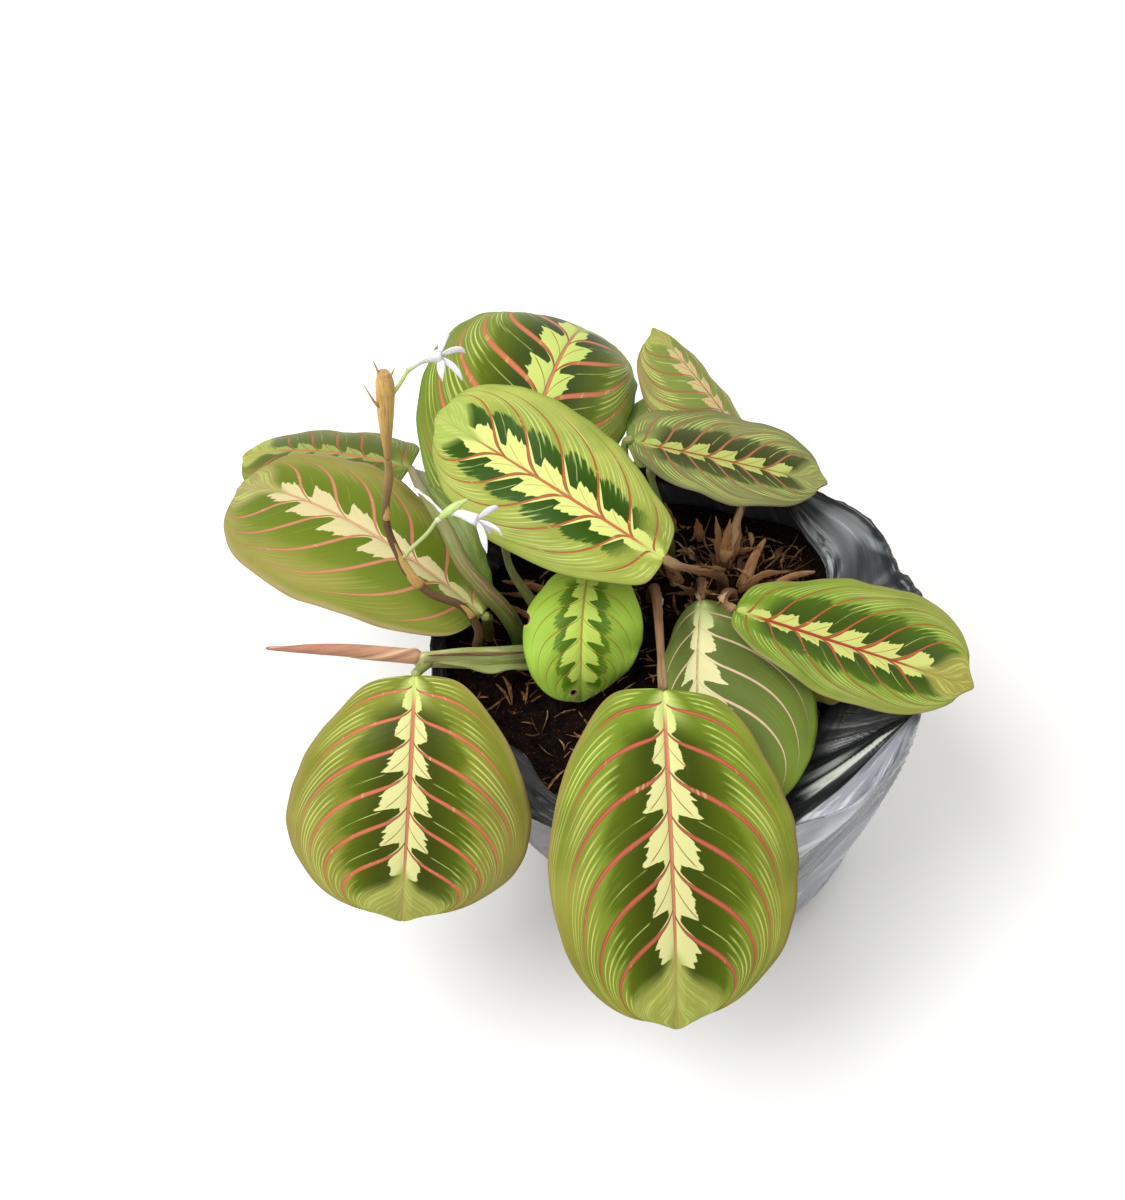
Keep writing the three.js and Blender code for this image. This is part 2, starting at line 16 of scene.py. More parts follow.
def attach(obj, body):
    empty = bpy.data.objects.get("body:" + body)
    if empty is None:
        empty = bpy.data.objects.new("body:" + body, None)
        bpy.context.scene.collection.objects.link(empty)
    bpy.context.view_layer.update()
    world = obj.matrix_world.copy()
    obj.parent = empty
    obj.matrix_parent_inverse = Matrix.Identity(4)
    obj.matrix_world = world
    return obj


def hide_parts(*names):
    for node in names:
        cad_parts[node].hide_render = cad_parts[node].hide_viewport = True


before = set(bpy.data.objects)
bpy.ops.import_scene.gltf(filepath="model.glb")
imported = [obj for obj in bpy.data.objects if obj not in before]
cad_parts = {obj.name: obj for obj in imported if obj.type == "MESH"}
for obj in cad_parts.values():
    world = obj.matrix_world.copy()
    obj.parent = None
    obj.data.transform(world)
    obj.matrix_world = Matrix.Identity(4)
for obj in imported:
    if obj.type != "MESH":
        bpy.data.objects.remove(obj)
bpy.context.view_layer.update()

# %% [markdown]
# ## Camera
#
# The plant is seen from above its front, 55 degrees over the horizon. A camera can be placed by eye, but
# here its distance and lens were worked out from the leaves, so they are typed in. The lens is fairly
# long, which keeps the leaves at the back from shrinking.

# %% Camera
MM = 0.001
CAMERA_AIM = Vector((-51, 12.5, 120)) * MM
CAMERA_RISE = math.radians(55)
CAMERA_AWAY = 0.6
LENS = 52.71


def pick(*pieces):
    """Selects these pieces and nothing else, and makes the first of them the active one."""
    for thing in bpy.context.selected_objects:
        thing.select_set(False)
    for piece in pieces:
        piece.select_set(True)
    if pieces:
        bpy.context.view_layer.objects.active = pieces[0]


pick()
camera_back = Vector((0, -math.cos(CAMERA_RISE), math.sin(CAMERA_RISE)))
bpy.ops.object.camera_add(location=CAMERA_AIM + camera_back * CAMERA_AWAY,
                          rotation=(math.pi / 2 - CAMERA_RISE, 0, 0))
camera = bpy.context.object
camera.data.lens = LENS
camera.data.clip_start = 0.01
bpy.context.scene.camera = camera
print("camera at", [round(value, 3) for value in camera.location])

# %% [markdown]
# ## Light and floor
#
# Leaves look best in the soft light of an overcast day: a bright, even sky, one large soft lamp high on
# the left for gentle highlights, and a weaker one at the back right for the far leaves. The floor is one
# big pale sheet.

# %% Light and floor
SKY, SKY_STRENGTH = (1.0, 0.985, 0.95, 1), 0.68
LAMPS = {"high_left": ((-0.6, -0.15, 1.1), 0.8, 14), "far_right": ((0.6, 0.8, 0.9), 0.9, 5)}
FLOOR_SIZE = 8
scene = bpy.context.scene
scene.view_settings.view_transform = "Standard"
world = bpy.data.worlds.new("overcast")
scene.world = world
world.use_nodes = True
sky = world.node_tree.nodes["Background"]
sky.inputs["Color"].default_value = SKY
sky.inputs["Strength"].default_value = SKY_STRENGTH


def soft_lamp(name, place, size, power):
    """A square lamp that faces the middle of the plant. Its place and size are in metres and its power
    is in watts."""
    away = Vector(place) - CAMERA_AIM
    bpy.ops.object.light_add(type="AREA", location=place, rotation=away.to_track_quat("Z", "Y").to_euler())
    lamp = bpy.context.object
    lamp.name = name
    lamp.data.size = size
    lamp.data.energy = power


for name, lamp in LAMPS.items():
    soft_lamp(name, *lamp)
bpy.ops.mesh.primitive_plane_add(size=FLOOR_SIZE)
floor = bpy.context.object
floor.name = "floor"

# %% [markdown]
# ## A way to write materials down
#
# A material in Blender is a small net of nodes. Drawing thirteen leaf materials by hand would take long,
# so two small classes add the nodes. A Wire is the output of a node, and sums with it read like any sum.
# A Recipe adds the nodes of one material.

# %% Material notebook


def paint(red, green, blue):
    """A colour as an artist reads it off a screen, 0 to 255, as the linear values that Blender works in."""
    shares = [value / 255 for value in (red, green, blue)]
    linear = [share / 12.92 if share <= 0.04045 else ((share + 0.055) / 1.055) ** 2.4 for share in shares]
    return (*linear, 1.0)


class Wire:
    """The output of a node. The signs + - * ** and abs() add the node that works the result out."""

    def __init__(self, recipe, socket):
        self.recipe, self.socket = recipe, socket

    def __add__(self, other):
        return self.recipe.math("ADD", self, other)

    def __sub__(self, other):
        return self.recipe.math("SUBTRACT", self, other)

    def __rsub__(self, other):
        return self.recipe.math("SUBTRACT", other, self)

    def __mul__(self, other):
        return self.recipe.math("MULTIPLY", self, other)

    def __pow__(self, other):
        return self.recipe.math("POWER", self, other)

    def __abs__(self):
        return self.recipe.math("ABSOLUTE", self)

    __radd__, __rmul__ = __add__, __mul__


class Recipe:
    """Adds nodes to one material. An input is a number, a colour as three numbers, or a Wire."""

    def __init__(self, name):
        self.material = bpy.data.materials.new(name)
        self.material.use_nodes = True
        self.tree = self.material.node_tree
        self.shader = self.tree.nodes["Principled BSDF"]

    def put(self, socket, value):
        if isinstance(value, Wire):
            self.tree.links.new(value.socket, socket)
        else:
            socket.default_value = paint(*value) if isinstance(value, tuple) else value

    def node(self, kind, *inputs, **settings):
        """A new node with its settings, and its first inputs filled in their order."""
        node = self.tree.nodes.new(kind)
        for name, value in settings.items():
            setattr(node, name, value)
        for socket, value in zip(node.inputs, inputs):
            self.put(socket, value)
        return node

    def named(self, kind, output, **inputs):
        """The output of a new node whose inputs are filled by their names."""
        node = self.node(kind)
        for name, value in inputs.items():
            self.put(node.inputs[name], value)
        return Wire(self, node.outputs[output])

    def math(self, operation, *values):
        return Wire(self, self.node("ShaderNodeMath", *values, operation=operation).outputs[0])

    def either(self, *masks):
        result = masks[0]
        for mask in masks[1:]:
            result = self.math("MAXIMUM", result, mask)
        return result

    def step(self, value, start, end, low=0.0, high=1.0):
        """Goes smoothly from low at start to high at end."""
        node = self.node("ShaderNodeMapRange", value, start, end, low, high,
                         interpolation_type="SMOOTHSTEP")
        return Wire(self, node.outputs["Result"])

    def band(self, value, start, end, soft):
        """1 where a value lies between start and end, with soft ends."""
        return self.step(value, start - soft, start + soft) * self.step(value, end + soft, end - soft)

    def curve(self, value, points):
        """A curve drawn through (x, y) points, with straight stretches between them."""
        node = self.node("ShaderNodeFloatCurve")
        line = node.mapping.curves[0]
        for x, y in points[1:-1]:
            line.points.new(x, y)
        for point, (x, y) in zip(line.points, points):
            point.location = (x, y)
            point.handle_type = "VECTOR"
        node.mapping.update()
        self.put(node.inputs["Value"], value)
        return Wire(self, node.outputs[0])

    def mix(self, factor, low, high):
        node = self.node("ShaderNodeMix", data_type="RGBA", clamp_factor=True)
        for index, value in ((0, factor), (6, low), (7, high)):
            self.put(node.inputs[index], value)
        return Wire(self, node.outputs[2])

    def coats(self, colour, *coats):
        """Coats of paint over a first colour, each given by its mask and its colour."""
        for mask, coat in coats:
            colour = self.mix(mask, colour, coat)
        return colour

    def vector(self, *numbers):
        return Wire(self, self.node("ShaderNodeCombineXYZ", *numbers).outputs[0])

    def parts(self, vector):
        return [Wire(self, socket) for socket in self.node("ShaderNodeSeparateXYZ", vector).outputs]

    def uv(self, name):
        """The two numbers of a UV map."""
        return self.parts(Wire(self, self.node("ShaderNodeUVMap", uv_map=name).outputs[0]))[:2]

    def place(self, scale=(1, 1, 1)):
        """Where a point is on the object, in metres, stretched by scale."""
        node = self.node("ShaderNodeMapping", self.named("ShaderNodeTexCoord", "Object"))
        node.inputs["Scale"].default_value = scale
        return Wire(self, node.outputs[0])

    def noise(self, vector, scale, detail=2.0, rough=0.5):
        return self.named("ShaderNodeTexNoise", "Fac", Vector=vector, Scale=scale, Detail=detail,
                          Roughness=rough)

    def chance(self, value):
        """One steady random number for each whole value."""
        node = self.node("ShaderNodeTexWhiteNoise", noise_dimensions="1D")
        self.put(node.inputs["W"], value)
        return Wire(self, node.outputs["Value"])

    def finish(self, colour, roughness, height=None, depth=0.0):
        """depth is how far, in metres, a height of 1 stands out."""
        self.put(self.shader.inputs["Base Color"], colour)
        self.put(self.shader.inputs["Roughness"], roughness)
        if height is not None:
            bump = self.named("ShaderNodeBump", "Normal", Strength=1.0, Distance=depth, Height=height)
            self.put(self.shader.inputs["Normal"], bump)
        return self.material


def painted(piece, *materials):
    for material in materials:
        piece.data.materials.append(material)
    return piece


FLOOR_COLOUR = (244, 244, 243)
painted(floor, Recipe("pale_floor").finish(FLOOR_COLOUR, 0.9))
print("floor colour:", [round(value, 2) for value in paint(*FLOOR_COLOUR)])

# %% [markdown]
# ## The shape of a blade
#
# A leaf blade is a sheet with an outline, a bend along its midrib and a turn across it. It could be pulled
# into shape by hand, but the measured solids were made from one rule, and the fine leaves have to lie
# where they lie. So the same rule is written here: it says where any point of a blade is. Lengths are
# millimetres and angles are degrees.

# %% What each blade is like
PLAIN_BLADE = dict(veer=0, fold=(5, 5), curl=25, skew=0, full=0.9, ear=2, tip=3, wave=1, phase=0,
                   ragged=0)
LEAVES = {
    "front": dict(base=(-19, -35, 138), heading=-89, veer=3, rise=(-3, -54), roll=(-9, -7), length=109,
                  width=(42, 38), curl=22, skew=-0.08, full=0.95, ear=3, wave=1.5),
    "front_left": dict(base=(-98, -31, 140), heading=-91, veer=-10, rise=(-25, -66), roll=(15, -12),
                       length=84, width=(39, 40), skew=-0.18, full=0.95, wave=1.5, phase=1),
    "middle": dict(base=(-18, 8, 150), heading=156, veer=-26, rise=(25, -20), roll=(3, -42), length=99,
                   width=(26, 27), ear=3, full=0.86),
    "left": dict(base=(-78, 4, 124), heading=146, veer=-4, rise=(25, -38), roll=(15, -10), length=118,
                 width=(35, 27), phase=2),
    "right": dict(base=(7, 4, 126), heading=-22, veer=-4, rise=(1, 5), roll=(-18, 20), length=82,
                  width=(28, 21), fold=(12, 12), phase=1),
    "back_right": dict(base=(-27, 58, 150), heading=-4, veer=-3, rise=(-13, -12), roll=(-6, 0), length=70,
                       width=(24, 18), fold=(8, 8)),
    "dark": dict(base=(-4, 12, 121), heading=-97, veer=12, rise=(8, -24), roll=(-4, -4), length=89,
                 width=(41, 18), fold=(4, -40), curl=20, full=1.05, ear=1),
    "small": dict(base=(-42, 18, 130), heading=-100, veer=15, rise=(15, -85), roll=(12, -15), length=51,
                  width=(21, 20), curl=30, tip=2),
    "back": dict(base=(-70, 31, 130), heading=74, rise=(50, -62), roll=(18, 12), length=130,
                 width=(46, 34), fold=(0, 0), curl=40, wave=1.5),
    "curled": dict(base=(14, 73, 131), heading=128, rise=(27, 6), roll=(0, 0), length=55, width=(22, 12),
                   fold=(10, -25), curl=30),
    "back_left": dict(base=(-106, 69, 122), heading=160, rise=(0, -35), roll=(8, 8), length=74,
                      width=(24, 28), fold=(0, 0), curl=50),
    "pale": dict(base=(-20, 61, 132), heading=88, rise=(8, -25), roll=(0, 0), length=40, width=(9, 9),
                 curl=30),
    "old": dict(base=(12, 1, 106), heading=-25, rise=(3, 0), roll=(0, 0), length=42, width=(13, 13),
                curl=15, ragged=0.14),
}
LEAVES = {name: {**PLAIN_BLADE, **row} for name, row in LEAVES.items()}
print("leaves from", min(leaf["length"] for leaf in LEAVES.values()), "to",
      max(leaf["length"] for leaf in LEAVES.values()), "mm long")

# %% Where a point of a blade is
WAVES = 3
WAVE_DELAY = 1.3
TIP_TURN = 0.3
EAR_TURN, EAR_SPREAD = 0.5, 0.28


def run_of(start, turn, share):
    """The running sum of the cosine of an angle that grows evenly by turn over the whole way."""
    if abs(turn) < 1e-6:
        return share * math.cos(start)
    return (np.sin(start + turn * share) - math.sin(start)) / turn


def midrib_at(leaf, share):
    """Points on the midrib, and the directions along it, to its left and up."""
    share = np.asarray(share, float)
    rise, bend = math.radians(leaf["rise"][0]), math.radians(leaf["rise"][1] - leaf["rise"][0])
    heading, veer = math.radians(leaf["heading"]), math.radians(leaf["veer"])
    half, quarter = leaf["length"] / 2, math.pi / 2
    points = np.array(leaf["base"], float) + np.stack([
        half * (run_of(rise + heading, bend + veer, share) + run_of(rise - heading, bend - veer, share)),
        half * (run_of(rise + heading - quarter, bend + veer, share)
                - run_of(rise - heading - quarter, bend - veer, share)),
        leaf["length"] * run_of(rise - quarter, bend, share)], -1)
    pitch, way = rise + bend * share, heading + veer * share
    along = np.stack([np.cos(pitch) * np.cos(way), np.cos(pitch) * np.sin(way), np.sin(pitch)], -1)
    level = np.stack([-np.sin(way), np.cos(way), 0 * way], -1)
    raised = np.cross(along, level)
    roll = np.radians(leaf["roll"][0] + (leaf["roll"][1] - leaf["roll"][0]) * share)[..., None]
    left = level * np.cos(roll) + raised * np.sin(roll)
    return points, along, left, np.cross(along, left)


def margin_at(leaf, angle):
    """How far along the margin is, and what share of the half width it stands out by."""
    near_tip = np.clip(1 - (math.pi - angle) / TIP_TURN, 0, 1)
    ear_rise = np.sin(np.minimum(angle / EAR_TURN, 1) * math.pi / 2)
    ear = leaf["ear"] * np.exp(-(((angle - EAR_TURN) / EAR_SPREAD) ** 2)) * ear_rise
    along = (leaf["length"] - leaf["tip"]) / 2 * (1 - np.cos(angle)) - ear + leaf["tip"] * near_tip ** 2
    torn = 1 - leaf["ragged"] * (1 + np.sin(9 * angle + 1)) / 2
    out = np.sin(angle) ** leaf["full"] * (1 + leaf["skew"] * np.cos(angle)) * torn
    return along, out * (1 - 0.7 * near_tip * (1 - near_tip))


def blade_points(leaf, angle, across, lift):
    """Points of a blade. angle runs from the stalk, 0, to the tip, pi, and across from the right margin,
    -1, over the midrib, 0, to the left one, 1. Also gives how far along and how far out they are."""
    along, out = margin_at(leaf, angle)
    share, side = np.abs(across), np.where(across < 0, -1.0, 1.0)
    half = np.where(side > 0, *leaf["width"])
    fold = np.radians(np.where(side > 0, *leaf["fold"]))
    midrib_along = leaf["length"] / 2 * (1 - np.cos(angle))
    t = (midrib_along + (along - midrib_along) * share) / leaf["length"]
    reach = share * out * half
    curl = math.radians(leaf["curl"]) / half
    slope = fold - curl * reach
    sideways = (np.sin(fold) - np.sin(slope)) / curl
    swing = 2 * math.pi * WAVES * t + leaf["phase"] + np.where(side > 0, 0, WAVE_DELAY)
    height = (np.cos(slope) - np.cos(fold)) / curl + leaf["wave"] * (reach / half) ** 2 * np.sin(swing)
    tilt = np.where(share == 0, 0, slope)
    points, _, left, up = midrib_at(leaf, t)
    points = (points + left * (side * (sideways - lift * np.sin(tilt)))[..., None]
              + up * (height + lift * np.cos(tilt))[..., None])
    return points, t, reach / half


tips = {name: blade_points(leaf, np.array([math.pi - 0.015]), np.array([0.0]), 0.0)[0][0].round()
        for name, leaf in LEAVES.items()}
print("tips of the leaves in mm:", {name: tip.tolist() for name, tip in tips.items()})

# %% [markdown]
# ## The veins
#
# Red side veins leave the midrib and sweep towards the tip, and every mark on the leaf follows them. So
# each point of a blade gets a vein number: 3.0 is on the third vein and 3.5 is half way to the fourth.
# The number and the share of the way to the margin are stored as a UV map, and the materials read it.

# %% Vein numbers
VEIN_COUNT = 8
SWEEP, SWEEP_OUTSIDE = 0.52, 0.40
BUNCHING = 0.75
RIGHT_SHIFT = 0.12
JUNCTION = 0.36
JUNCTION_REACH = 0.06


def vein_number(t, share, side):
    """Which vein a point lies by. Veins sweep further forward the nearer they get to the margin, and
    leave the midrib in a tight bend."""
    t = np.clip(t, 0, 1)
    sweep = 1 - SWEEP * share - SWEEP_OUTSIDE * share ** 4
    start = 1 - (1 - t) ** sweep
    number = VEIN_COUNT * start + BUNCHING * np.sin(math.pi * np.sqrt(np.clip(start, 0, 1)))
    return number + np.where(side > 0, 0, RIGHT_SHIFT) + JUNCTION * np.exp(-share / JUNCTION_REACH)


number = vein_number(np.array([0.25, 0.5, 0.75]), np.zeros(3), np.ones(3))
print("vein numbers a quarter, half and three quarters along the midrib:", number.round(2).tolist())

# %% [markdown]
# ## Growing the blades
#
# A grid primitive is the natural start for a sheet: its rows become the steps from stalk to tip and its
# columns the steps across. Each point is then put in its place by the rule, with the tissue between two
# veins puffed up a little and the midrib sunk in. Solidify gives the sheet its thickness, and puts the
# second material on the underside.

# %% Blade from a grid
BLADE_THICKNESS = 0.5
PUFF, PUFFED_WIDTH = 0.45, 30
MIDRIB_GROOVE, GROOVE_WIDTH = 0.5, 1.3
MARGIN_RIPPLE, RIPPLED_LENGTH = 0.35, 110
COLUMN_CROWDING = 1.3
START_ANGLE = 0.012
END_ANGLE = math.pi - 0.012


def settle(piece, name, slot_name, *nodes):
    """Names a finished piece, makes it ride on the plant and hides the solids that it stands for."""
    piece.name = name
    piece.data.name = name
    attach(piece, "root")
    if nodes:
        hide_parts(*nodes)
    return piece


def thicken(piece, thickness, offset=0, **settings):
    """Gives a sheet its thickness in mm. With an offset of 0, half of it is added on each side."""
    solid = piece.modifiers.new("thickness", "SOLIDIFY")
    for name, value in {"thickness": thickness * MM, "offset": offset, **settings}.items():
        setattr(solid, name, value)
    pick(piece)
    bpy.ops.object.modifier_apply(modifier=solid.name)
    bpy.ops.object.shade_smooth()


def grid_piece(rows, columns):
    """A flat grid with its points' places on it, from 0 to 1 along and -1 to 1 across."""
    bpy.ops.mesh.primitive_grid_add(x_subdivisions=rows, y_subdivisions=columns, size=2)
    piece = bpy.context.object
    flat = np.zeros(len(piece.data.vertices) * 3)
    piece.data.vertices.foreach_get("co", flat)
    flat = flat.reshape(-1, 3)
    return piece, (flat[:, 0] + 1) / 2, flat[:, 1].copy()


def place_points(piece, points):
    piece.data.vertices.foreach_set("co", (np.asarray(points) * MM).ravel())
    piece.data.update()


def corner_sides(piece, across):
    """For each face corner, its vertex and the side of the midrib that its face is on."""
    mesh = piece.data
    vertex = np.zeros(len(mesh.loops), int)
    mesh.loops.foreach_get("vertex_index", vertex)
    middle = across[vertex].reshape(-1, 4).mean(1)
    return vertex, np.repeat(np.where(middle < 0, -1.0, 1.0), 4)


def grow_blade(name, rows, columns):
    leaf = LEAVES[name]
    piece, along, across = grid_piece(rows, 2 * columns)
    across[np.abs(across) < 1e-5] = 0
    across = np.sign(across) * np.abs(across) ** COLUMN_CROWDING
    angle = START_ANGLE + (END_ANGLE - START_ANGLE) * along
    _, t, out = blade_points(leaf, angle, across, 0.0)
    side = np.where(across < 0, -1.0, 1.0)
    share = np.abs(across)
    number = vein_number(t, share, side)
    between = 4 * (number % 1) * (1 - number % 1)
    half = np.where(side > 0, *leaf["width"])
    puff = (PUFF * np.sqrt(between) * np.sin(math.pi * np.clip(share, 0, 1)) ** 0.6
            * min(half.max() / PUFFED_WIDTH, 1))
    groove = MIDRIB_GROOVE * np.exp(-((out * half / GROOVE_WIDTH) ** 2)) * (1 - 0.6 * t)
    ripple = (MARGIN_RIPPLE * min(leaf["length"] / RIPPLED_LENGTH, 1) ** 2 * share ** 6
              * np.sin(math.pi * np.clip(t, 0, 1)) ** 0.5
              * (np.sin(47 * t + 2 * side) + 0.6 * np.sin(23 * t * side + 1)))
    lift = np.where(share == 0, 0, puff) - groove + ripple
    points, _, _ = blade_points(leaf, angle, across, lift)
    place_points(piece, points)
    vertex, corner_side = corner_sides(piece, across)
    veins = piece.data.uv_layers.new(name="Veins")
    number = vein_number(t[vertex], share[vertex], corner_side)
    veins.data.foreach_set("uv", np.stack([number, share[vertex]], 1).ravel())
    blade = piece.data.uv_layers.new(name="Blade")
    blade.data.foreach_set("uv", np.stack([t[vertex], out[vertex] * corner_side], 1).ravel())
    piece.data.uv_layers.remove(piece.data.uv_layers["UVMap"])
    return piece


HOLES = {"small": [(0.89, -0.14, 0.9), (0.40, -1.0, 2.0)], "right": [(0.33, -0.42, 0.45)],
         "curled": [(0.62, -1.0, 1.6)]}
HOLE_DETAIL = 1.7


def eat_holes(piece, leaf, holes):
    """Deletes the faces where something has eaten the blade. A hole is a place along, a place across
    and a radius in mm."""
    corners = np.zeros(len(piece.data.loops) * 2)
    piece.data.uv_layers["Blade"].data.foreach_get("uv", corners)
    middle = corners.reshape(-1, 4, 2).mean(1)
    size = [leaf["length"], max(leaf["width"])]
    gone = np.zeros(len(middle), bool)
    for *place, radius in holes:
        gone |= np.hypot(*((middle - place) * size).T) < radius
    pick(piece)
    bpy.ops.object.mode_set(mode="EDIT")
    bpy.ops.mesh.select_mode(type="FACE")
    bpy.ops.mesh.select_all(action="DESELECT")
    bpy.ops.object.mode_set(mode="OBJECT")
    piece.data.polygons.foreach_set("select", gone)
    bpy.ops.object.mode_set(mode="EDIT")
    bpy.ops.mesh.delete(type="FACE")
    bpy.ops.object.mode_set(mode="OBJECT")


blades = {}
for name, leaf in LEAVES.items():
    detail = HOLE_DETAIL if name in HOLES else 1.0
    rows = int((leaf["length"] * 1.1 + 24) * detail)
    columns = int((max(leaf["width"]) * 0.7 + 8) * detail)
    blades[name] = grow_blade(name, rows, columns)
    if name in HOLES:
        eat_holes(blades[name], leaf, HOLES[name])
print("faces in the blades:", {name: len(blade.data.polygons) for name, blade in blades.items()})

# %% [markdown]
# ## Leaf colours
#
# A prayer plant's leaf has a pale feather along the midrib with a tooth in each gap between two veins, a
# dark blotch past it, fine pale streaks from there to the margin, and red veins over all. An image could
# be wrapped on, but a pattern drawn by rule stays sharp at any size and differs from leaf to leaf. The
# vein number's fraction says how far a point is from one vein to the next, and curves over it give the
# outline of the feather.

# %% The feather's outline and where the streaks are
LOBES = [(0, 0.20), (0.08, 0.20), (0.2, 0.235), (0.4, 0.25), (0.55, 0.24), (0.68, 0.23), (0.8, 0.17),
         (0.9, 0.12), (1, 0.11)]
TEETH = [(0, 0.16), (0.06, 0.18), (0.14, 0.25), (0.22, 0.27), (0.27, 0.315), (0.31, 0.275), (0.42, 0.30),
         (0.52, 0.31), (0.60, 0.355), (0.645, 0.33), (0.70, 0.18), (0.78, 0.10), (0.9, 0.085), (1, 0.10)]
TOOTH_SLANT = 0.35
STREAKS = [(0, 0), (0.22, 0), (0.26, 0.9), (0.3, 0), (0.43, 0), (0.475, 1), (0.52, 0), (0.61, 0),
           (0.65, 1), (0.69, 0), (0.79, 0), (0.82, 0.6), (0.85, 0), (1, 0)]
VEIN_WIDTH = [(0, 0.028), (0.06, 0.036), (0.15, 0.05), (0.35, 0.064), (0.6, 0.060), (0.8, 0.044),
              (0.93, 0.02), (1, 0.006)]
print("the feather's tooth reaches", max(width for _, width in TEETH), "of the half blade")

# %% [markdown]
# The pattern is drawn as masks, one for each kind of mark: 1 on the mark and 0 off it. All of them read
# the same few numbers, which are taken from the UV maps once. Steady random numbers and stretched noise
# make each tooth and each streak a little different.

# %% What the marks are drawn by
LAST_VEIN = 6
BELLY = 0.12


def leaf_places(r, seed):
    """The numbers that all marks read. f is the share of the way from one vein to the next."""
    number, share = r.uv("Veins")
    t, out = r.uv("Blade")
    cell = r.math("FLOOR", number)
    side = r.math("GREATER_THAN", out, 0.0)
    return SimpleNamespace(number=number, share=share, t=t, out=out, f=number - cell,
                           vary=r.chance(cell * 1.7 + (side * 31.3 + seed)),
                           fibre=r.noise(r.vector(number * 16.0, share * 1.6, seed), 1.0, 3.0, 0.6),
                           cloud=r.noise(r.place(), 45.0))


def feather_mask(r, at, look, seed):
    """The pale feather along the midrib, the strips beside its veins and the pale base of the leaf."""
    toothed = r.step(at.number, 2.0, 3.6)
    edge = r.curve(at.f + at.share * TOOTH_SLANT, TEETH) * toothed + r.curve(at.f, LOBES) * (1 - toothed)
    edge = edge * (r.step(at.vary, 0.0, 1.0, 0.82, 1.14) * look.width)
    edge = edge * r.step(at.number, LAST_VEIN, LAST_VEIN + 0.7, 1.0, 0.62)
    nick = r.noise(r.vector(at.number * 9.0, seed), 1.0)
    edge = r.either(edge * r.step(nick, 0.3, 0.7, 0.92, 1.08), look.notch)
    reach = look.strip_reach
    strip = r.step(at.share, 0.0, reach, look.strip, 0.0) * look.width
    strip = (r.step(1 - at.f, strip + 0.012, strip) * r.step(at.share, reach, reach - 0.1)
             * r.step(at.number, 1.0, 1.6) * r.step(at.number, LAST_VEIN + 0.2, LAST_VEIN))
    soft_base = r.step(at.share + at.fibre * 0.22, 0.50, 0.14) * r.step(at.number, 1.7, 0.8) * 0.9
    return r.either(r.step(at.share, edge + 0.006, edge - 0.006), strip, soft_base)


def dark_mask(r, at, look):
    """The dark blotch past the feather. Its outer end is torn into fibres."""
    uneven = at.fibre * look.dark_tatter + r.math("SINE", at.f * math.pi) * BELLY
    reach = look.dark_reach - look.dark_tatter / 2 - BELLY * 0.6 + uneven
    return (r.step(at.share, reach + look.dark_soft, reach - look.dark_soft) * r.step(at.number, 1.1, 2.0)
            * r.step(at.number, LAST_VEIN + 0.92, LAST_VEIN + 0.8) * look.dark_amount)


def streak_mask(r, at, look, seed):
    """Fine pale streaks from the blotch to the margin, and a line that runs on from each tooth."""
    start = r.step(at.vary, 0.0, 1.0, look.dark_reach - 0.12, look.dark_reach + 0.10)
    line = (r.curve(at.f, STREAKS) * r.step(at.share, start, start + 0.12)
            * r.step(at.share, start + 0.46, start + 0.28) * r.step(at.fibre, 0.2, 0.5))
    hair = (r.step(at.fibre, 0.56, 0.68) * r.step(at.share, look.dark_reach - 0.14, look.dark_reach + 0.08)
            * r.step(at.share, 0.98, 0.80) * look.hair)
    tooth_line = (r.step(abs(at.f - 0.62), 0.020, 0.007) * r.step(at.share, 0.20, 0.24)
                  * r.step(at.share, 0.62, 0.42) * r.step(at.number, 3.0, 3.9)
                  * r.step(at.number, LAST_VEIN + 0.2, LAST_VEIN) * 0.6)
    patchy = r.noise(r.vector(at.number * 1.4, at.share * 4.0, seed + 7.0), 1.0)
    return r.either(line, hair, tooth_line) * (r.step(patchy, 0.34, 0.56, 0.25, 1.0) * look.streak_amount)


print("leaf marks: feather, dark blotch, streaks")

# %% [markdown]
# A side vein is where the vein number is close to a whole number. The teeth of the feather have short,
# thin veinlets, and the midrib is pale with a fine red line on both sides.

# %% Veins and midrib


def vein_masks(r, at, look):
    """The side veins, the middle line of each, and the veinlets inside the teeth."""
    nearest = r.math("ROUND", at.number)
    off = abs(at.number - nearest)
    half = r.curve(at.share, VEIN_WIDTH) * look.vein_width
    half = half + r.step(at.share, 0.32, 0.0, 0.0, look.vein_root)
    real = r.step(nearest, 0.4, 0.6) * r.step(nearest, LAST_VEIN + 0.6, LAST_VEIN + 0.4)
    vein = (r.step(off, half + 0.012, half - 0.012) * real
            * r.step(at.share, look.vein_reach + 0.10, look.vein_reach - 0.10))
    veinlet = (r.step(abs(at.f - (at.share * 1.1 + 0.36)), 0.026, 0.010) * r.step(at.share, 0.20, 0.15)
               * r.step(at.number, 2.0, 2.6) * r.step(at.number, LAST_VEIN + 0.1, LAST_VEIN)
               * look.veinlets)
    return vein, r.step(off, half, 0.0), veinlet


def rib_masks(r, at, look):
    """The midrib, and the red lines on both sides of it."""
    away = abs(at.out)
    width = r.step(at.t, 0.0, 1.0, 0.017, 0.004) * look.rib
    life = r.step(at.number, LAST_VEIN + 1.1, LAST_VEIN + 0.2, 0.15, 1.0)
    lines = r.step(away, width + 0.011, width + 0.004) * r.step(at.t, 0.08, 0.3) * life
    return r.step(away, width + 0.004, width) * life, lines


print("vein marks: side veins, veinlets, midrib")

# %% [markdown]
# The colours go on as a painter would lay them: the ground first, then the blotch, the streaks, the
# feather, the tip and the veins, each coat through its mask. Holes get a dry, brown edge. The underside
# is grey green with a purple flush, which is how the underside of this plant looks.

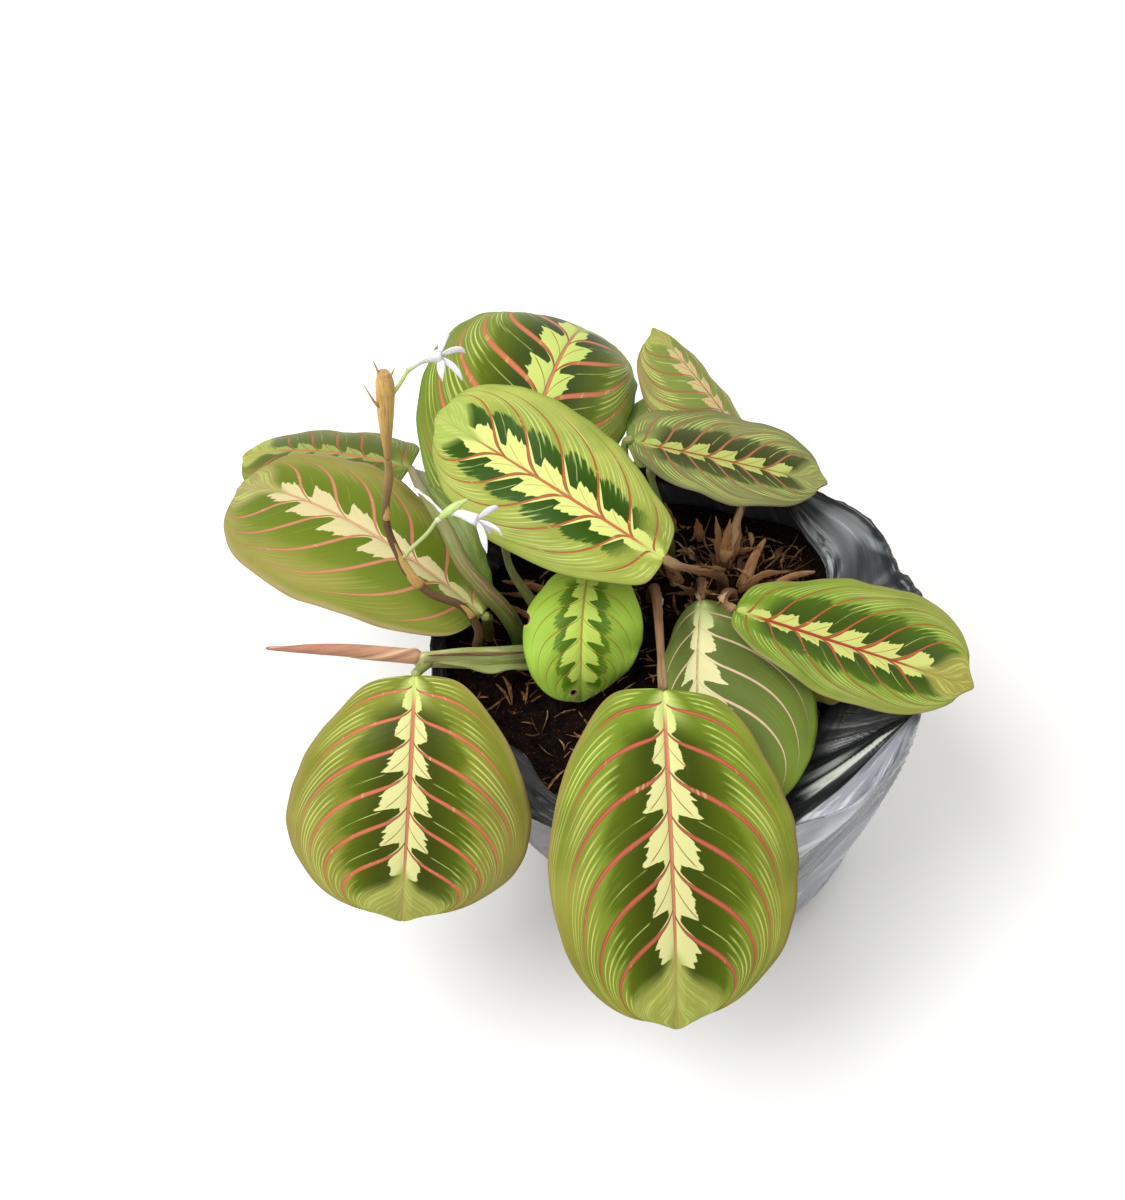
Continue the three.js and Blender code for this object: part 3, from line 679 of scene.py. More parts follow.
# %% Leaf material
LEAF_GLOSS = 0.12
LEAF_BUMP, UNDER_BUMP = 0.14 * MM, 0.2 * MM
DRY_RING, DRY_EDGE = (196, 178, 120), (84, 50, 28)
UNDER_GREEN, UNDER_PURPLE = (128, 140, 106), (140, 112, 118)
UNDER_VEIN, UNDER_MIDRIB = (172, 150, 120), (190, 180, 130)


def leaf_upper(name, look, seed):
    r = Recipe(name)
    at = leaf_places(r, seed)
    number, share, fibre, cloud = at.number, at.share, at.fibre, at.cloud
    dark = dark_mask(r, at, look)
    vein, core, veinlet = vein_masks(r, at, look)
    rib, rib_lines = rib_masks(r, at, look)
    ground = r.coats(look.mid, (r.step(share, look.dark_reach - 0.1, 0.85), look.outer),
                     (r.step(number, 2.8, 1.6, 0.0, 0.7), look.mid),
                     (r.step(cloud, 0.35, 0.7, 0.0, 0.35), look.dark_end),
                     (r.step(fibre, 0.46, 0.25, 0.0, 0.45), look.dark_end),
                     (r.step(share, 0.90, 1.0, 0.0, 0.75), look.rim))
    blotch = r.coats(look.dark, (r.step(share, 0.2, look.dark_reach), look.dark_end),
                     (r.step(cloud, 0.3, 0.75, 0.0, 0.3), look.dark_end))
    cream = r.coats(look.feather_base, (r.step(number, 0.5, 3.0), look.feather),
                    (r.step(fibre, 0.35, 0.7, 0.0, 0.22), look.streak))
    tip = r.coats(look.tip, (r.step(fibre, 0.46, 0.66, 0.0, 0.6), look.streak),
                  (r.step(cloud, 0.35, 0.65, 0.0, 0.4), look.outer))
    tip_number = number + share * 0.45 + r.step(share, 0.17, 0.03, 0.0, 0.2)
    tip_zone = r.step(tip_number, LAST_VEIN + 0.66, LAST_VEIN + 1.12) * look.tip_amount
    # Painted highlights: pale glints along the veins.
    glint = r.noise(r.vector(number * 1.2, share * 22.0, seed + 3.0), 1.0)
    red = r.coats(look.vein_start, (r.step(share, 0.04, 0.2), look.vein), (core * 0.14, look.feather),
                  (r.step(glint, 0.62, 0.72) * 0.35, look.feather))
    midrib = r.mix(r.step(at.t, 0.03, 0.14), look.feather_base, look.midrib)
    colour = r.coats(ground, (dark, blotch), (streak_mask(r, at, look, seed), look.streak),
                     (feather_mask(r, at, look, seed), cream), (tip_zone * 0.92, tip),
                     (veinlet * 0.8, look.vein_start), (vein, red), (rib_lines * 0.8, look.vein_start),
                     (rib, midrib))
    for hole_t, hole_out, radius in look.holes:
        away = r.math("SQRT", ((at.t - hole_t) * look.length) ** 2 + ((at.out - hole_out) * look.half) ** 2)
        ring = min(radius, 1.0)
        dry = r.step(away, radius + 1.2 * ring, radius + 0.5 * ring) * (0.6 * ring)
        edge = r.step(away, radius + 0.55, radius + 0.1) * 0.9
        colour = r.coats(colour, (dry, DRY_RING), (edge, DRY_EDGE))
    r.put(r.shader.inputs["Specular IOR Level"], LEAF_GLOSS)
    grain = r.noise(r.place(), 1400.0)
    height = fibre * 0.6 + (grain * 0.3 + vein * -0.7)
    return r.finish(colour, fibre * 0.14 + r.step(dark, 0.0, 1.0, 0.44, 0.36), height, LEAF_BUMP)


def leaf_under():
    r = Recipe("leaf_under")
    number, out = r.uv("Veins")[0], r.uv("Blade")[1]
    vein = r.step(abs(number - r.math("ROUND", number)), 0.1, 0.04)
    flush = r.noise(r.place(), 30.0, 3.0)
    colour = r.coats(UNDER_GREEN, (r.step(flush, 0.35, 0.65), UNDER_PURPLE), (vein * 0.6, UNDER_VEIN),
                     (r.step(abs(out), 0.05, 0.03), UNDER_MIDRIB))
    return r.finish(colour, 0.6, r.noise(r.place(), 900.0) + vein, UNDER_BUMP)


print("a leaf's fine relief in mm:", LEAF_BUMP / MM)

# %% [markdown]
# Each leaf then gets its own colours. What a row doesn't name is as in the plain look. Colours are red,
# green and blue from 0 to 255. Widths and reaches are shares of the half blade.

# %% The colours of each leaf
PLAIN_LOOK = dict(
    feather=(204, 202, 140), feather_base=(188, 202, 118), dark=(50, 63, 0),
    dark_end=(78, 94, 8), mid=(106, 130, 30), outer=(134, 135, 52), rim=(140, 122, 64),
    streak=(190, 206, 112), vein=(160, 62, 48), vein_start=(132, 40, 30),
    midrib=(184, 118, 86), tip=(150, 152, 72), width=0.64, notch=0.0, strip=0.13, strip_reach=0.34,
    dark_reach=0.52, dark_soft=0.07, dark_tatter=0.22, dark_amount=1.0, streak_amount=1.0,
    hair=0.5, vein_width=1.0, vein_root=0.0, vein_reach=0.84, veinlets=1.0, rib=1.0,
    tip_amount=1.0)
LOOKS = {
    "front": {},
    "front_left": dict(dark=(54, 62, 2), mid=(120, 126, 34), outer=(138, 131, 60),
                       rim=(144, 128, 74),
                       dark_reach=0.50, vein=(182, 84, 62)),
    "middle": dict(mid=(148, 157, 64), outer=(160, 168, 80), rim=(138, 152, 66),
                   feather=(200, 206, 120), feather_base=(190, 203, 108), dark=(38, 66, 0),
                   dark_end=(46, 78, 4), dark_reach=0.47, dark_soft=0.015, dark_tatter=0.28,
                   streak_amount=0.9, hair=1.0, notch=0.13, vein=(150, 58, 36), vein_start=(146, 56, 36),
                   vein_width=0.62, vein_root=0.05, vein_reach=0.88, midrib=(176, 104, 62), rib=1.2,
                   streak=(192, 206, 124), tip=(144, 166, 76), width=0.86, strip=0.20,
                   strip_reach=0.60, veinlets=0.7),
    "left": dict(mid=(106, 118, 33), outer=(140, 131, 66), rim=(164, 142, 100),
                 dark=(78, 98, 14), dark_end=(94, 110, 26), feather=(192, 178, 136),
                 feather_base=(188, 188, 120), vein=(174, 108, 80), vein_start=(150, 84, 60),
                 vein_width=0.85, streak_amount=0.15, dark_amount=0.7, midrib=(190, 150, 110),
                 veinlets=0.15, width=0.72, tip=(142, 136, 78)),
    "right": dict(mid=(108, 136, 34), outer=(126, 134, 59), rim=(142, 133, 76),
                  dark=(46, 64, 2), dark_end=(60, 84, 8), vein=(148, 60, 38),
                  vein_start=(138, 46, 28), notch=0.09, vein_width=0.62, vein_root=0.07,
                  midrib=(148, 54, 36),
                  dark_reach=0.55, dark_soft=0.03, tip=(142, 129, 58), width=0.84, rib=1.7,
                  streak_amount=0.8, feather=(178, 184, 102), feather_base=(168, 180, 92)),
    "back_right": dict(mid=(122, 130, 70), outer=(118, 120, 74), rim=(112, 106, 76),
                       dark=(50, 55, 8), dark_end=(62, 69, 24), feather=(160, 168, 90),
                       feather_base=(146, 164, 84), vein=(142, 84, 62), vein_start=(132, 62, 44),
                       vein_width=0.8, vein_root=0.04, dark_reach=0.48, dark_soft=0.03,
                       width=0.62, tip=(122, 120, 66), midrib=(142, 78, 50)),
    "dark": dict(mid=(106, 120, 58), outer=(110, 130, 46), rim=(112, 138, 42),
                 dark=(90, 105, 48), dark_end=(98, 113, 52), feather=(214, 208, 158),
                 feather_base=(186, 202, 132), vein=(212, 180, 152), vein_start=(206, 196, 150),
                 vein_width=0.7, streak_amount=0.06, midrib=(198, 186, 134), veinlets=0.0,
                 width=0.8, vein_reach=0.88, tip_amount=0.15),
    "small": dict(mid=(148, 180, 58), outer=(156, 190, 70), rim=(136, 166, 58),
                  dark=(68, 101, 14), dark_end=(86, 118, 26), dark_reach=0.42, dark_soft=0.02,
                  dark_tatter=0.3, streak_amount=0.35, vein=(152, 98, 50), vein_start=(152, 92, 48),
                  vein_width=0.4, feather=(176, 200, 84), feather_base=(166, 192, 76),
                  midrib=(160, 136, 64), veinlets=0.3, tip=(134, 164, 58), width=1.1),
    "back": dict(dark=(42, 57, 5), outer=(116, 126, 48), mid=(102, 118, 32),
                 vein=(176, 90, 68), dark_reach=0.55, width=0.66, vein_width=1.25, vein_reach=0.9,
                 feather=(180, 196, 100), feather_base=(170, 188, 90), rim=(100, 122, 44)),
    "curled": dict(mid=(122, 134, 62), outer=(136, 126, 72), dark=(80, 98, 42),
                   dark_end=(108, 120, 58), vein=(160, 78, 50), vein_width=0.7, width=0.7,
                   feather=(184, 162, 116), streak_amount=1.5, dark_amount=0.25, rim=(146, 104, 66)),
    "back_left": dict(dark=(78, 92, 34), outer=(112, 122, 50), mid=(102, 114, 42),
                      dark_end=(90, 100, 38), vein=(150, 84, 58), vein_width=0.9,
                      streak_amount=0.5, feather=(128, 140, 72), feather_base=(124, 136, 70),
                      width=0.4),
    "pale": dict(mid=(124, 148, 66), outer=(124, 148, 70), dark=(100, 126, 52),
                 dark_amount=0.4, vein=(142, 112, 72), vein_width=0.4, streak_amount=0.5),
    "old": dict(mid=(150, 150, 58), outer=(156, 146, 62), dark=(132, 136, 50),
                dark_amount=0.3, vein=(190, 172, 102), vein_start=(188, 178, 106), vein_width=0.4,
                streak_amount=0.2, feather=(172, 170, 82), feather_base=(172, 170, 82),
                veinlets=0.0, rim=(124, 106, 50), midrib=(174, 162, 96)),
}
SEED_STEP = 7.3
SLOTS = {"middle": "bright_leaf", "small": "bright_leaf", "pale": "bright_leaf", "dark": "dark_leaf",
         "back_right": "dull_leaf", "curled": "dull_leaf", "old": "old_leaf"}

under = leaf_under()
for order, (name, blade) in enumerate(blades.items()):
    look = SimpleNamespace(**{**PLAIN_LOOK, **LOOKS[name]}, holes=HOLES.get(name, ()),
                           length=LEAVES[name]["length"], half=max(LEAVES[name]["width"]))
    painted(blade, leaf_upper(f"leaf_{name}_upper", look, order * SEED_STEP), under)
    thicken(blade, BLADE_THICKNESS, material_offset=1, material_offset_rim=1)
    settle(blade, f"leaf_{name}_fine", SLOTS.get(name, "patterned_leaf"), f"leaf_{name}")
print("leaf materials:", len([m for m in bpy.data.materials if m.name.startswith("leaf_")]))

# %% [markdown]
# ## Stalks and sheaths
#
# A stalk is a rod that is thicker at its foot, with a swollen joint where the blade starts. A curve object
# with a bevel could make it, but here a grid is rolled up round a route instead: that gives the rod a UV
# map for streaks that run along it. The grid's long edges meet and are merged, and its ends close to a
# point.

# %% A rod along a route
STALK_FOOT = 90
STALK_STRAIGHT = 102
STALK_TIP = 1.2
JOINT_SWELLING = 0.45
JOINT_GAP = 0.7
MERGE = 2e-6
CAP_BULGE, CAP_WIDTHS = (1.0, 0.53, 0.2), (0.0, 0.6, 0.9)


def curve_through(route, steps):
    """Points on a smooth curve through a route, a centripetal Catmull-Rom curve."""
    route = np.array(route, float)
    ends = np.vstack([2 * route[0] - route[1], route, 2 * route[-1] - route[-2]])
    points = []
    for place in np.linspace(0, len(route) - 1, steps + 1):
        first = min(int(place), len(route) - 2)
        w = place - first
        p0, p1, p2, p3 = ends[first:first + 4]
        d0, d1, d2 = [math.sqrt(np.linalg.norm(b - a)) for a, b in ((p0, p1), (p1, p2), (p2, p3))]
        start = ((p1 - p0) / d0 - (p2 - p0) / (d0 + d1) + (p2 - p1) / d1) * d1
        end = ((p2 - p1) / d1 - (p3 - p1) / (d1 + d2) + (p3 - p2) / d2) * d1
        points.append(p1 + start * w + (3 * (p2 - p1) - 2 * start - end) * w ** 2
                      + (2 * (p1 - p2) + start + end) * w ** 3)
    return np.array(points)


def with_foot(points, steps=4):
    """Adds the upright stretch that stands in the soil."""
    foot = [*points[0][:2], STALK_FOOT]
    return np.vstack([np.linspace(foot, points[0], steps, endpoint=False), points])


def merge_and_face_out(piece):
    pick(piece)
    bpy.ops.object.mode_set(mode="EDIT")
    bpy.ops.mesh.select_all(action="SELECT")
    bpy.ops.mesh.remove_doubles(threshold=MERGE)
    bpy.ops.mesh.normals_make_consistent(inside=False)
    bpy.ops.object.mode_set(mode="OBJECT")


def with_ends(first, middle, last):
    return np.concatenate([first, middle, last])


def rod(points, radius_at, sides=12, flat=1.0, dome=0.8, shape=None):
    """A closed rod. radius_at gives its radius at a share of its points. flat squeezes the section. dome
    is how far its ends bulge, in radii. shape may change the radius with the turn round it."""
    share = np.linspace(0, 1, len(points))
    radius = radius_at(share)
    directions = np.gradient(points, axis=0)
    directions /= np.linalg.norm(directions, axis=1)[:, None]
    sides_at, side = [], np.array([0.0, 1.0, 0.0])
    for along in directions:
        side = side - along * side.dot(along)
        side = side / np.linalg.norm(side)
        sides_at.append(side)
    bulge, widths, extra = dome * np.array(CAP_BULGE), np.array(CAP_WIDTHS), len(CAP_WIDTHS)
    centres = with_ends([points[0] - directions[0] * radius[0] * b for b in bulge], points,
                        [points[-1] + directions[-1] * radius[-1] * b for b in bulge[::-1]])
    radii = with_ends(widths * radius[0], radius, widths[::-1] * radius[-1])
    lateral = with_ends([sides_at[0]] * extra, sides_at, [sides_at[-1]] * extra)
    axes = with_ends([directions[0]] * extra, directions, [directions[-1]] * extra)
    shares = with_ends(np.zeros(extra), share, np.ones(extra))
    piece, along, across = grid_piece(len(centres) - 1, sides)
    ring = np.rint(along * (len(centres) - 1)).astype(int)
    turn = math.pi * across
    width = radii[ring] * (1 if shape is None else shape(shares[ring], turn))
    other = np.cross(axes, lateral)
    place_points(piece, centres[ring] + lateral[ring] * (width * flat * np.cos(turn))[:, None]
                 + other[ring] * (width * np.sin(turn))[:, None])
    piece.data.uv_layers[0].name = "Blade"
    merge_and_face_out(piece)
    bpy.ops.object.shade_smooth()
    return piece


def joined(*pieces):
    pick(*pieces)
    bpy.ops.object.join()
    return pieces[0]


def stalk_radius(foot):
    def radius_at(share):
        taper = STALK_TIP + (foot - STALK_TIP) * (1 - share) ** 1.5
        return taper + JOINT_SWELLING * np.clip((share - 0.86) / 0.06, 0, 1)
    return radius_at


print("a curve through three points:",
      curve_through([(0, 0, 0), (5, 2, 0), (10, 0, 0)], 4).round(1).tolist())

# %% [markdown]
# Streaks along a stalk come from noise that is stretched along the UV map. Its colour goes from the foot
# to the top: the foot keeps the dry brown remains of its sheath, and the joint under the blade is paler.

# %% Stalk material


def stem_look(name, low, middle, top, streak, rough=0.5, lines=9.0, depth=0.25):
    """A material whose colour goes from low at the foot over middle to top, with streaks along it."""
    r = Recipe(name)
    along, around = r.uv("Blade")
    turn = around * (2 * math.pi)
    ring = r.vector(r.math("COSINE", turn) * (lines / 6), r.math("SINE", turn) * (lines / 6), along * 3.5)
    fine = r.noise(ring, 2.2, 4.0, 0.65)
    patch = r.noise(r.place(), 160.0, 3.0)
    colour = r.coats(low, (r.step(along, 0.05, 0.45), middle), (r.step(along, 0.7, 0.97), top),
                     (r.step(fine, 0.45, 0.68, 0.0, 0.75), streak),
                     (r.step(patch, 0.5, 0.75, 0.0, 0.45), low))
    return r.finish(colour, rough, fine, depth * MM)


stem_green = stem_look("stem_green", (112, 88, 52), (128, 142, 72), (150, 160, 84),
                       (104, 110, 54))
stem_brown = stem_look("stem_brown", (96, 62, 34), (134, 98, 64), (146, 124, 80),
                       (80, 52, 34), rough=0.75, depth=0.5)
stem_russet = stem_look("stem_russet", (88, 56, 34), (118, 80, 52), (150, 122, 82),
                        (168, 126, 88), rough=0.7, lines=14.0, depth=0.6)
print("stem materials ready")

# %% [markdown]
# Each stalk runs from its root in the soil to just behind its blade, along the direction in which the
# blade starts. Two of them have to find their way between leaves, so their routes are typed in.

# %% Leaf stalks
STALKS = {
    "front": ((-19, 27), 22, 2.6, stem_brown), "middle": ((6, 27), 12, 2.4, stem_russet),
    "left": ([(-77, 12, 102), (-77, 10, 112), (-76, 6, 119), (-77.2, 4.2, 122.4)], 0, 2.4, stem_green),
    "right": ([(8, 20, 102), (8, 19, 113), (6, 15, 121), (3.6, 10.5, 124.8), (3.9, 6.6, 126.2),
               (6.3, 4.3, 126.1)], 0, 2.4, stem_russet),
    "back_right": ((-22, 44), 7, 2.2, stem_green), "dark": ((-2, 30), 8, 2.2, stem_russet),
    "small": ((-38, 40), 10, 2.0, stem_green), "back": ((-60, 18), 12, 2.6, stem_green),
    "curled": ((7, 41), 10, 2.0, stem_brown), "pale": ((-12, 46), 8, 1.8, stem_green),
    "old": ((6, 11), 3, 1.6, stem_brown),
}


def stalk_points(name, steps=36):
    root, reach, _, _ = STALKS[name]
    if isinstance(root, list):
        return with_foot(curve_through(root, steps))
    leaf = LEAVES[name]
    _, along, _, _ = midrib_at(leaf, 0.0)
    end = np.array(leaf["base"], float) - along * JOINT_GAP
    start = np.array([*root, STALK_STRAIGHT], float)
    over = start + np.array([0, 0, 0.45 * (end[2] - start[2])])
    before = end - along * reach
    w = np.linspace(0, 1, steps + 1)[:, None]
    return with_foot((1 - w) ** 3 * start + 3 * (1 - w) ** 2 * w * over + 3 * (1 - w) * w ** 2 * before
                     + w ** 3 * end)


for name, (_, _, foot, look) in STALKS.items():
    ridge = 0.12 if look is stem_russet else 0.04
    stalk = rod(stalk_points(name), stalk_radius(foot),
                shape=lambda share, turn: 1 + ridge * np.cos(3 * turn + 9 * share))
    settle(painted(stalk, look), f"stalk_{name}_fine", "leaf_stalk", f"stalk_{name}")
print("leaf stalks:", len(STALKS))

# %% [markdown]
# On the left, two shoots still carry green leaf sheaths. A sheath is a leaf base that wraps the shoot: its
# free edge is thin and brown. The edge is made as a second, flatter rod that lies on the first. The
# newest leaf is still rolled up like a cigar, so its section is a spiral instead of a circle.

# %% Sheaths and the rolled leaf
SHEATH_ROUTE = [(-66, 9, 101), (-68, 8, 112), (-71, 7, 122), (-77, 7, 134), (-84, 12, 142), (-90, 23, 147),
                (-96, 36, 144), (-101, 51, 135), (-105.2, 67.4, 123.4)]
WING_ROUTE = [(-56, 2, 101), (-63, -2, 107), (-74, -10, 118), (-86, -17, 129), (-97, -24, 139)]
WING_ARM = [(-94, -24, 137), (-97, -28.3, 138.8), (-97.8, -30.2, 139.8)]
ROLLED_ROUTE = [(-98.5, -23.6, 140.2), (-121, -26.5, 148), (-143, -29, 153)]
SHEATH_THICKNESS = 0.45
ROLL_WINDING = 1.3
sheath_green = stem_look("sheath_green", (138, 140, 78), (158, 171, 92), (168, 166, 102),
                         (204, 208, 154), rough=0.42, lines=20.0)
sheath_left = stem_look("sheath_left", (92, 130, 44), (114, 114, 58), (122, 100, 62),
                        (152, 148, 92), rough=0.45, lines=16.0)
sheath_edge = stem_look("sheath_edge", (150, 124, 84), (140, 96, 66), (150, 100, 70),
                        (190, 170, 130), rough=0.6)


def sheath_radius(share):
    return np.where(share < 0.55, 2.6 + 0.5 * np.sin(np.minimum(share / 0.55, 1) * math.pi),
                    2.6 - 1.2 * (share - 0.55) / 0.45)


def wing_radius(share):
    return 3.2 + 1.6 * np.sin(np.minimum(share * 1.1, 1) * math.pi)


def edge_along(points, start, end, radius, shift):
    """The free edge of a sheath: a flat strip that lies along its upper side."""
    part = points[int(start * len(points)):int(end * len(points))] + np.array(shift)
    strip = rod(part, lambda share: radius * (0.25 + np.sin(math.pi * share) ** 0.7), sides=10, flat=0.3)
    return painted(strip, sheath_edge)


def sheath_wing(points, start, end, width, skin):
    """The thin free margin of a sheath: a sheet that leaves it sideways, with a wavy edge."""
    part = points[int(start * len(points)):int(end * len(points))]
    directions = np.gradient(part, axis=0)
    sideways = np.cross(directions, [0, 0, 1.0])
    sideways /= np.linalg.norm(sideways, axis=1)[:, None]
    piece, along, across = grid_piece(len(part) - 1, 10)
    row = np.rint(along * (len(part) - 1)).astype(int)
    out = (across + 1) / 2
    reach = width * (0.12 + np.sin(math.pi * along) ** 0.8) * (1 + 0.07 * np.sin(23 * along)) * out
    lift = np.stack([0 * out, 0 * out, 1.2 * np.sin(2.2 * out) + 0.5 * np.sin(17 * along) * out], -1)
    place_points(piece, part[row] + sideways[row] * reach[:, None] + lift)
    piece.data.uv_layers[0].name = "Blade"
    thicken(piece, SHEATH_THICKNESS)
    return painted(piece, skin)


sheath_olive = stem_look("sheath_olive", (98, 128, 42), (96, 112, 42), (94, 86, 44),
                         (130, 148, 72), rough=0.5, lines=5.0)
sheath_points = with_foot(curve_through(SHEATH_ROUTE, 56))
settle(joined(painted(rod(sheath_points, sheath_radius, sides=16), sheath_left),
              edge_along(sheath_points, 0.1, 0.55, 1.3, (1.0, -1.5, 1.7)),
              sheath_wing(sheath_points, 0.34, 0.99, 10, sheath_olive)),
       "stalk_back_left_fine", "green_sheath", "stalk_back_left")

wing_points = with_foot(curve_through(WING_ROUTE, 40))
wing = rod(wing_points, wing_radius, sides=18, flat=0.8,
           shape=lambda share, turn: 1 + 0.10 * np.cos(3 * turn + 4 * share) * share)
arm = rod(curve_through(WING_ARM, 8), lambda share: 1.6 + 0 * share)
settle(joined(painted(wing, sheath_green), painted(arm, stem_green),
              edge_along(wing_points, 0.15, 0.97, 1.9, (0.5, -1.2, 3.6)),
              sheath_wing(wing_points, 0.12, 0.96, -6.5, sheath_green)),
       "sheath_front_left_fine", "green_sheath", "sheath_front_left")


def rolled_radius(share):
    return 2.6 * (1 - share) + 0.6 * share + 0.5 * np.sin(share * math.pi)


def spiral(share, turn):
    """A rolled sheet: the radius steps down where its outer edge ends, and the edge winds round."""
    return 0.90 + 0.16 * (((turn / (2 * math.pi)) + ROLL_WINDING * share + 0.1) % 1)


rolled = rod(curve_through(ROLLED_ROUTE, 60), rolled_radius, sides=28, dome=1.6, shape=spiral)
r = Recipe("rolled_leaf_skin")
along, around = r.uv("Blade")
wound = r.math("FRACT", around + along * ROLL_WINDING + -0.4)
stripe = r.noise(r.vector(wound * 9.0, along * 2.0), 1.0, 3.0)
colour = r.coats((186, 142, 108), (r.step(along, 0.0, 0.8), (166, 112, 88)),
                 (r.step(stripe, 0.45, 0.65, 0.0, 0.7), (136, 92, 72)),
                 (r.step(wound, 0.10, 0.02, 0.0, 0.8), (206, 176, 140)),
                 (r.step(along, 0.93, 1.0), (120, 70, 50)))
settle(painted(rolled, r.finish(colour, 0.55, stripe, 0.3 * MM)), "leaf_rolled_fine", "rolled_leaf",
       "leaf_rolled")
print("rolled leaf, faces:", len(rolled.data.polygons))

# %% [markdown]
# ## Flowers
#
# The flowers stand on a thin brown stalk that ends in a dry, ochre bract. They are small and white, with
# a green tube. Each petal is a flat rod with rounded ends, narrow at the tube and wide in its outer half.

# %% The flower stalk and its bract
STALK_ROUTE = [(-80, 0, 101), (-80, -3, 115), (-79, -4, 126), (-84, -2, 137), (-94, -1, 143),
               (-101, 3, 149), (-104, 6, 155), (-107, 10, 163), (-107, 12, 173), (-105, 14, 186),
               (-105, 15, 192)]
SCALES = [(0.34, 3, 1.3), (0.585, 9, 2.0), (0.79, 3, 1.3)]
BRACT_ROUTE = [(-105, 15.1, 192.6), (-104.6, 19, 206), (-104, 22, 219), (-104, 23, 223)]
BRACT_SPIKES = [[(-105, 20, 210), (-107, 18.6, 214), (-110.5, 22, 219)],
                [(-104, 21.5, 218), (-107, 24, 227)], [(-104, 21.5, 218), (-100.5, 22, 226)]]
bark = stem_look("flower_stalk_skin", (78, 52, 26), (96, 66, 34), (160, 130, 70),
                 (70, 44, 24), rough=0.6, lines=14.0, depth=0.4)
ochre = stem_look("bract_skin", (170, 130, 70), (204, 168, 94), (194, 156, 88),
                  (156, 110, 60), rough=0.6, lines=16.0, depth=0.6)
stalk_curve = with_foot(curve_through(STALK_ROUTE, 80))
flower_stalk = rod(stalk_curve, lambda share: 1.5 - 0.3 * share + 0.25 * np.abs(np.sin(9 * share)) ** 8,
                   dome=0.3)
scales = []
for place, half, width in SCALES:
    middle = int(place * len(stalk_curve))
    scale = rod(stalk_curve[middle - half:middle + half] + np.array([0.5, -0.7, 0.4]),
                lambda share: width * (1 - share) ** 0.7 + 0.15, sides=12, flat=0.7,
                shape=lambda share, turn: 1 + 0.12 * np.sin(3 * turn + 11 * share))
    scales.append(painted(scale, ochre))
settle(joined(painted(flower_stalk, bark), *scales), "flower_stalk_fine", "flower_stalk", "flower_stalk")

bract = rod(curve_through(BRACT_ROUTE, 36), lambda share: 0.7 + 1.9 * np.sin(0.15 + 2.4 * share), sides=20,
            dome=0.4, shape=lambda share, turn: 1 + 0.12 * np.cos(2 * turn + 5 * share))
spikes = [rod(curve_through(route, 12), lambda share: 0.85 - 0.75 * share, sides=8)
          for route in BRACT_SPIKES]
settle(painted(joined(bract, *spikes), ochre), "flower_bract_fine", "flower_bract", "flower_bract")
print("scales on the flower stalk:", len(scales))

# %% Flowers
FLOWERS = {
    "upper": dict(pedicel=[(-102, 23.6, 213), (-100, 28, 213), (-98, 32, 214)],
                  tube=[(-98, 32, 214), (-94, 36, 214), (-89, 39, 213)],
                  petals=[(-86, 46, 217), (-81, 42, 212), (-82, 36, 206), (-88, 34, 208)],
                  threads=[], buds=[]),
    "lower": dict(pedicel=[(-102.1, 4.6, 155.4), (-99, 6, 159), (-94, 7, 165), (-91, 8, 170)],
                  tube=[(-91, 8, 170), (-86, 10, 172), (-78, 7, 172)],
                  petals=[(-71, 9, 176), (-70, 3, 170), (-75, 0, 165), (-74, 8, 164)],
                  threads=[[(-88, 9, 171), (-93, 12, 176), (-98, 15, 178)]],
                  buds=[[(-90.5, 8.2, 170.4), (-85.5, 10.5, 173.5), (-81, 12.5, 175.5)]]),
}
r = Recipe("petal_skin")
along, around = r.uv("Blade")
petal_vein = r.noise(r.vector(around * 26.0, along * 1.5), 1.0)
colour = r.coats((222, 226, 204), (r.step(along, 0.0, 0.3), (232, 230, 240)),
                 (r.step(petal_vein, 0.5, 0.7, 0.0, 0.5), (208, 200, 222)))
petal_skin = r.finish(colour, 0.5, petal_vein, 0.12 * MM)
calyx_skin = stem_look("calyx_skin", (150, 172, 90), (170, 186, 112), (176, 192, 120),
                       (196, 206, 150), rough=0.45)
tube_skin = stem_look("tube_skin", (178, 196, 130), (226, 226, 226), (234, 230, 242),
                      (210, 206, 224), rough=0.45)
bud_skin = stem_look("bud_skin", (150, 176, 84), (188, 206, 126), (220, 228, 190),
                     (160, 182, 96), rough=0.45)


def petal(start, end):
    """A narrow petal from the mouth of the tube. Its tip is bent back."""
    start, end = np.array(start, float), np.array(end, float)
    out = end - start
    route = [start, start + 0.45 * out + [0, 0, 0.9], start + 0.85 * out + [0, 0, 0.7], end + [0, 0, -1.3]]
    return painted(rod(curve_through(route, 22),
                       lambda share: 0.12 + 1.15 * np.sin(math.pi * share ** 0.8) ** 1.2,
                       sides=14, flat=0.26, dome=0.3,
                       shape=lambda share, turn: 1 + 0.14 * np.sin(3 * turn + 9 * share)), petal_skin)


def flower(parts):
    pedicel = rod(curve_through(parts["pedicel"], 12), lambda share: 0.7 + 0 * share, sides=8)
    tube = rod(curve_through(parts["tube"], 14), lambda share: 0.9 + 1.1 * share ** 1.8, sides=12, dome=0.2)
    threads = [painted(rod(curve_through(route, 16), lambda share: 0.34 + 0.22 * np.sin(9 * share) ** 2,
                           sides=8), petal_skin) for route in parts["threads"]]
    buds = [painted(rod(curve_through(route, 14),
                        lambda share: 0.35 + 1.15 * np.sin(math.pi * share ** 0.8),
                        sides=12, dome=0.3), bud_skin) for route in parts["buds"]]
    return joined(painted(tube, tube_skin), painted(pedicel, calyx_skin), *threads, *buds,
                  *[petal(parts["tube"][-1], end) for end in parts["petals"]])


for name, parts in FLOWERS.items():
    settle(flower(parts), f"flower_{name}_fine", "petal", f"flower_{name}")
print("flowers:", len(FLOWERS))

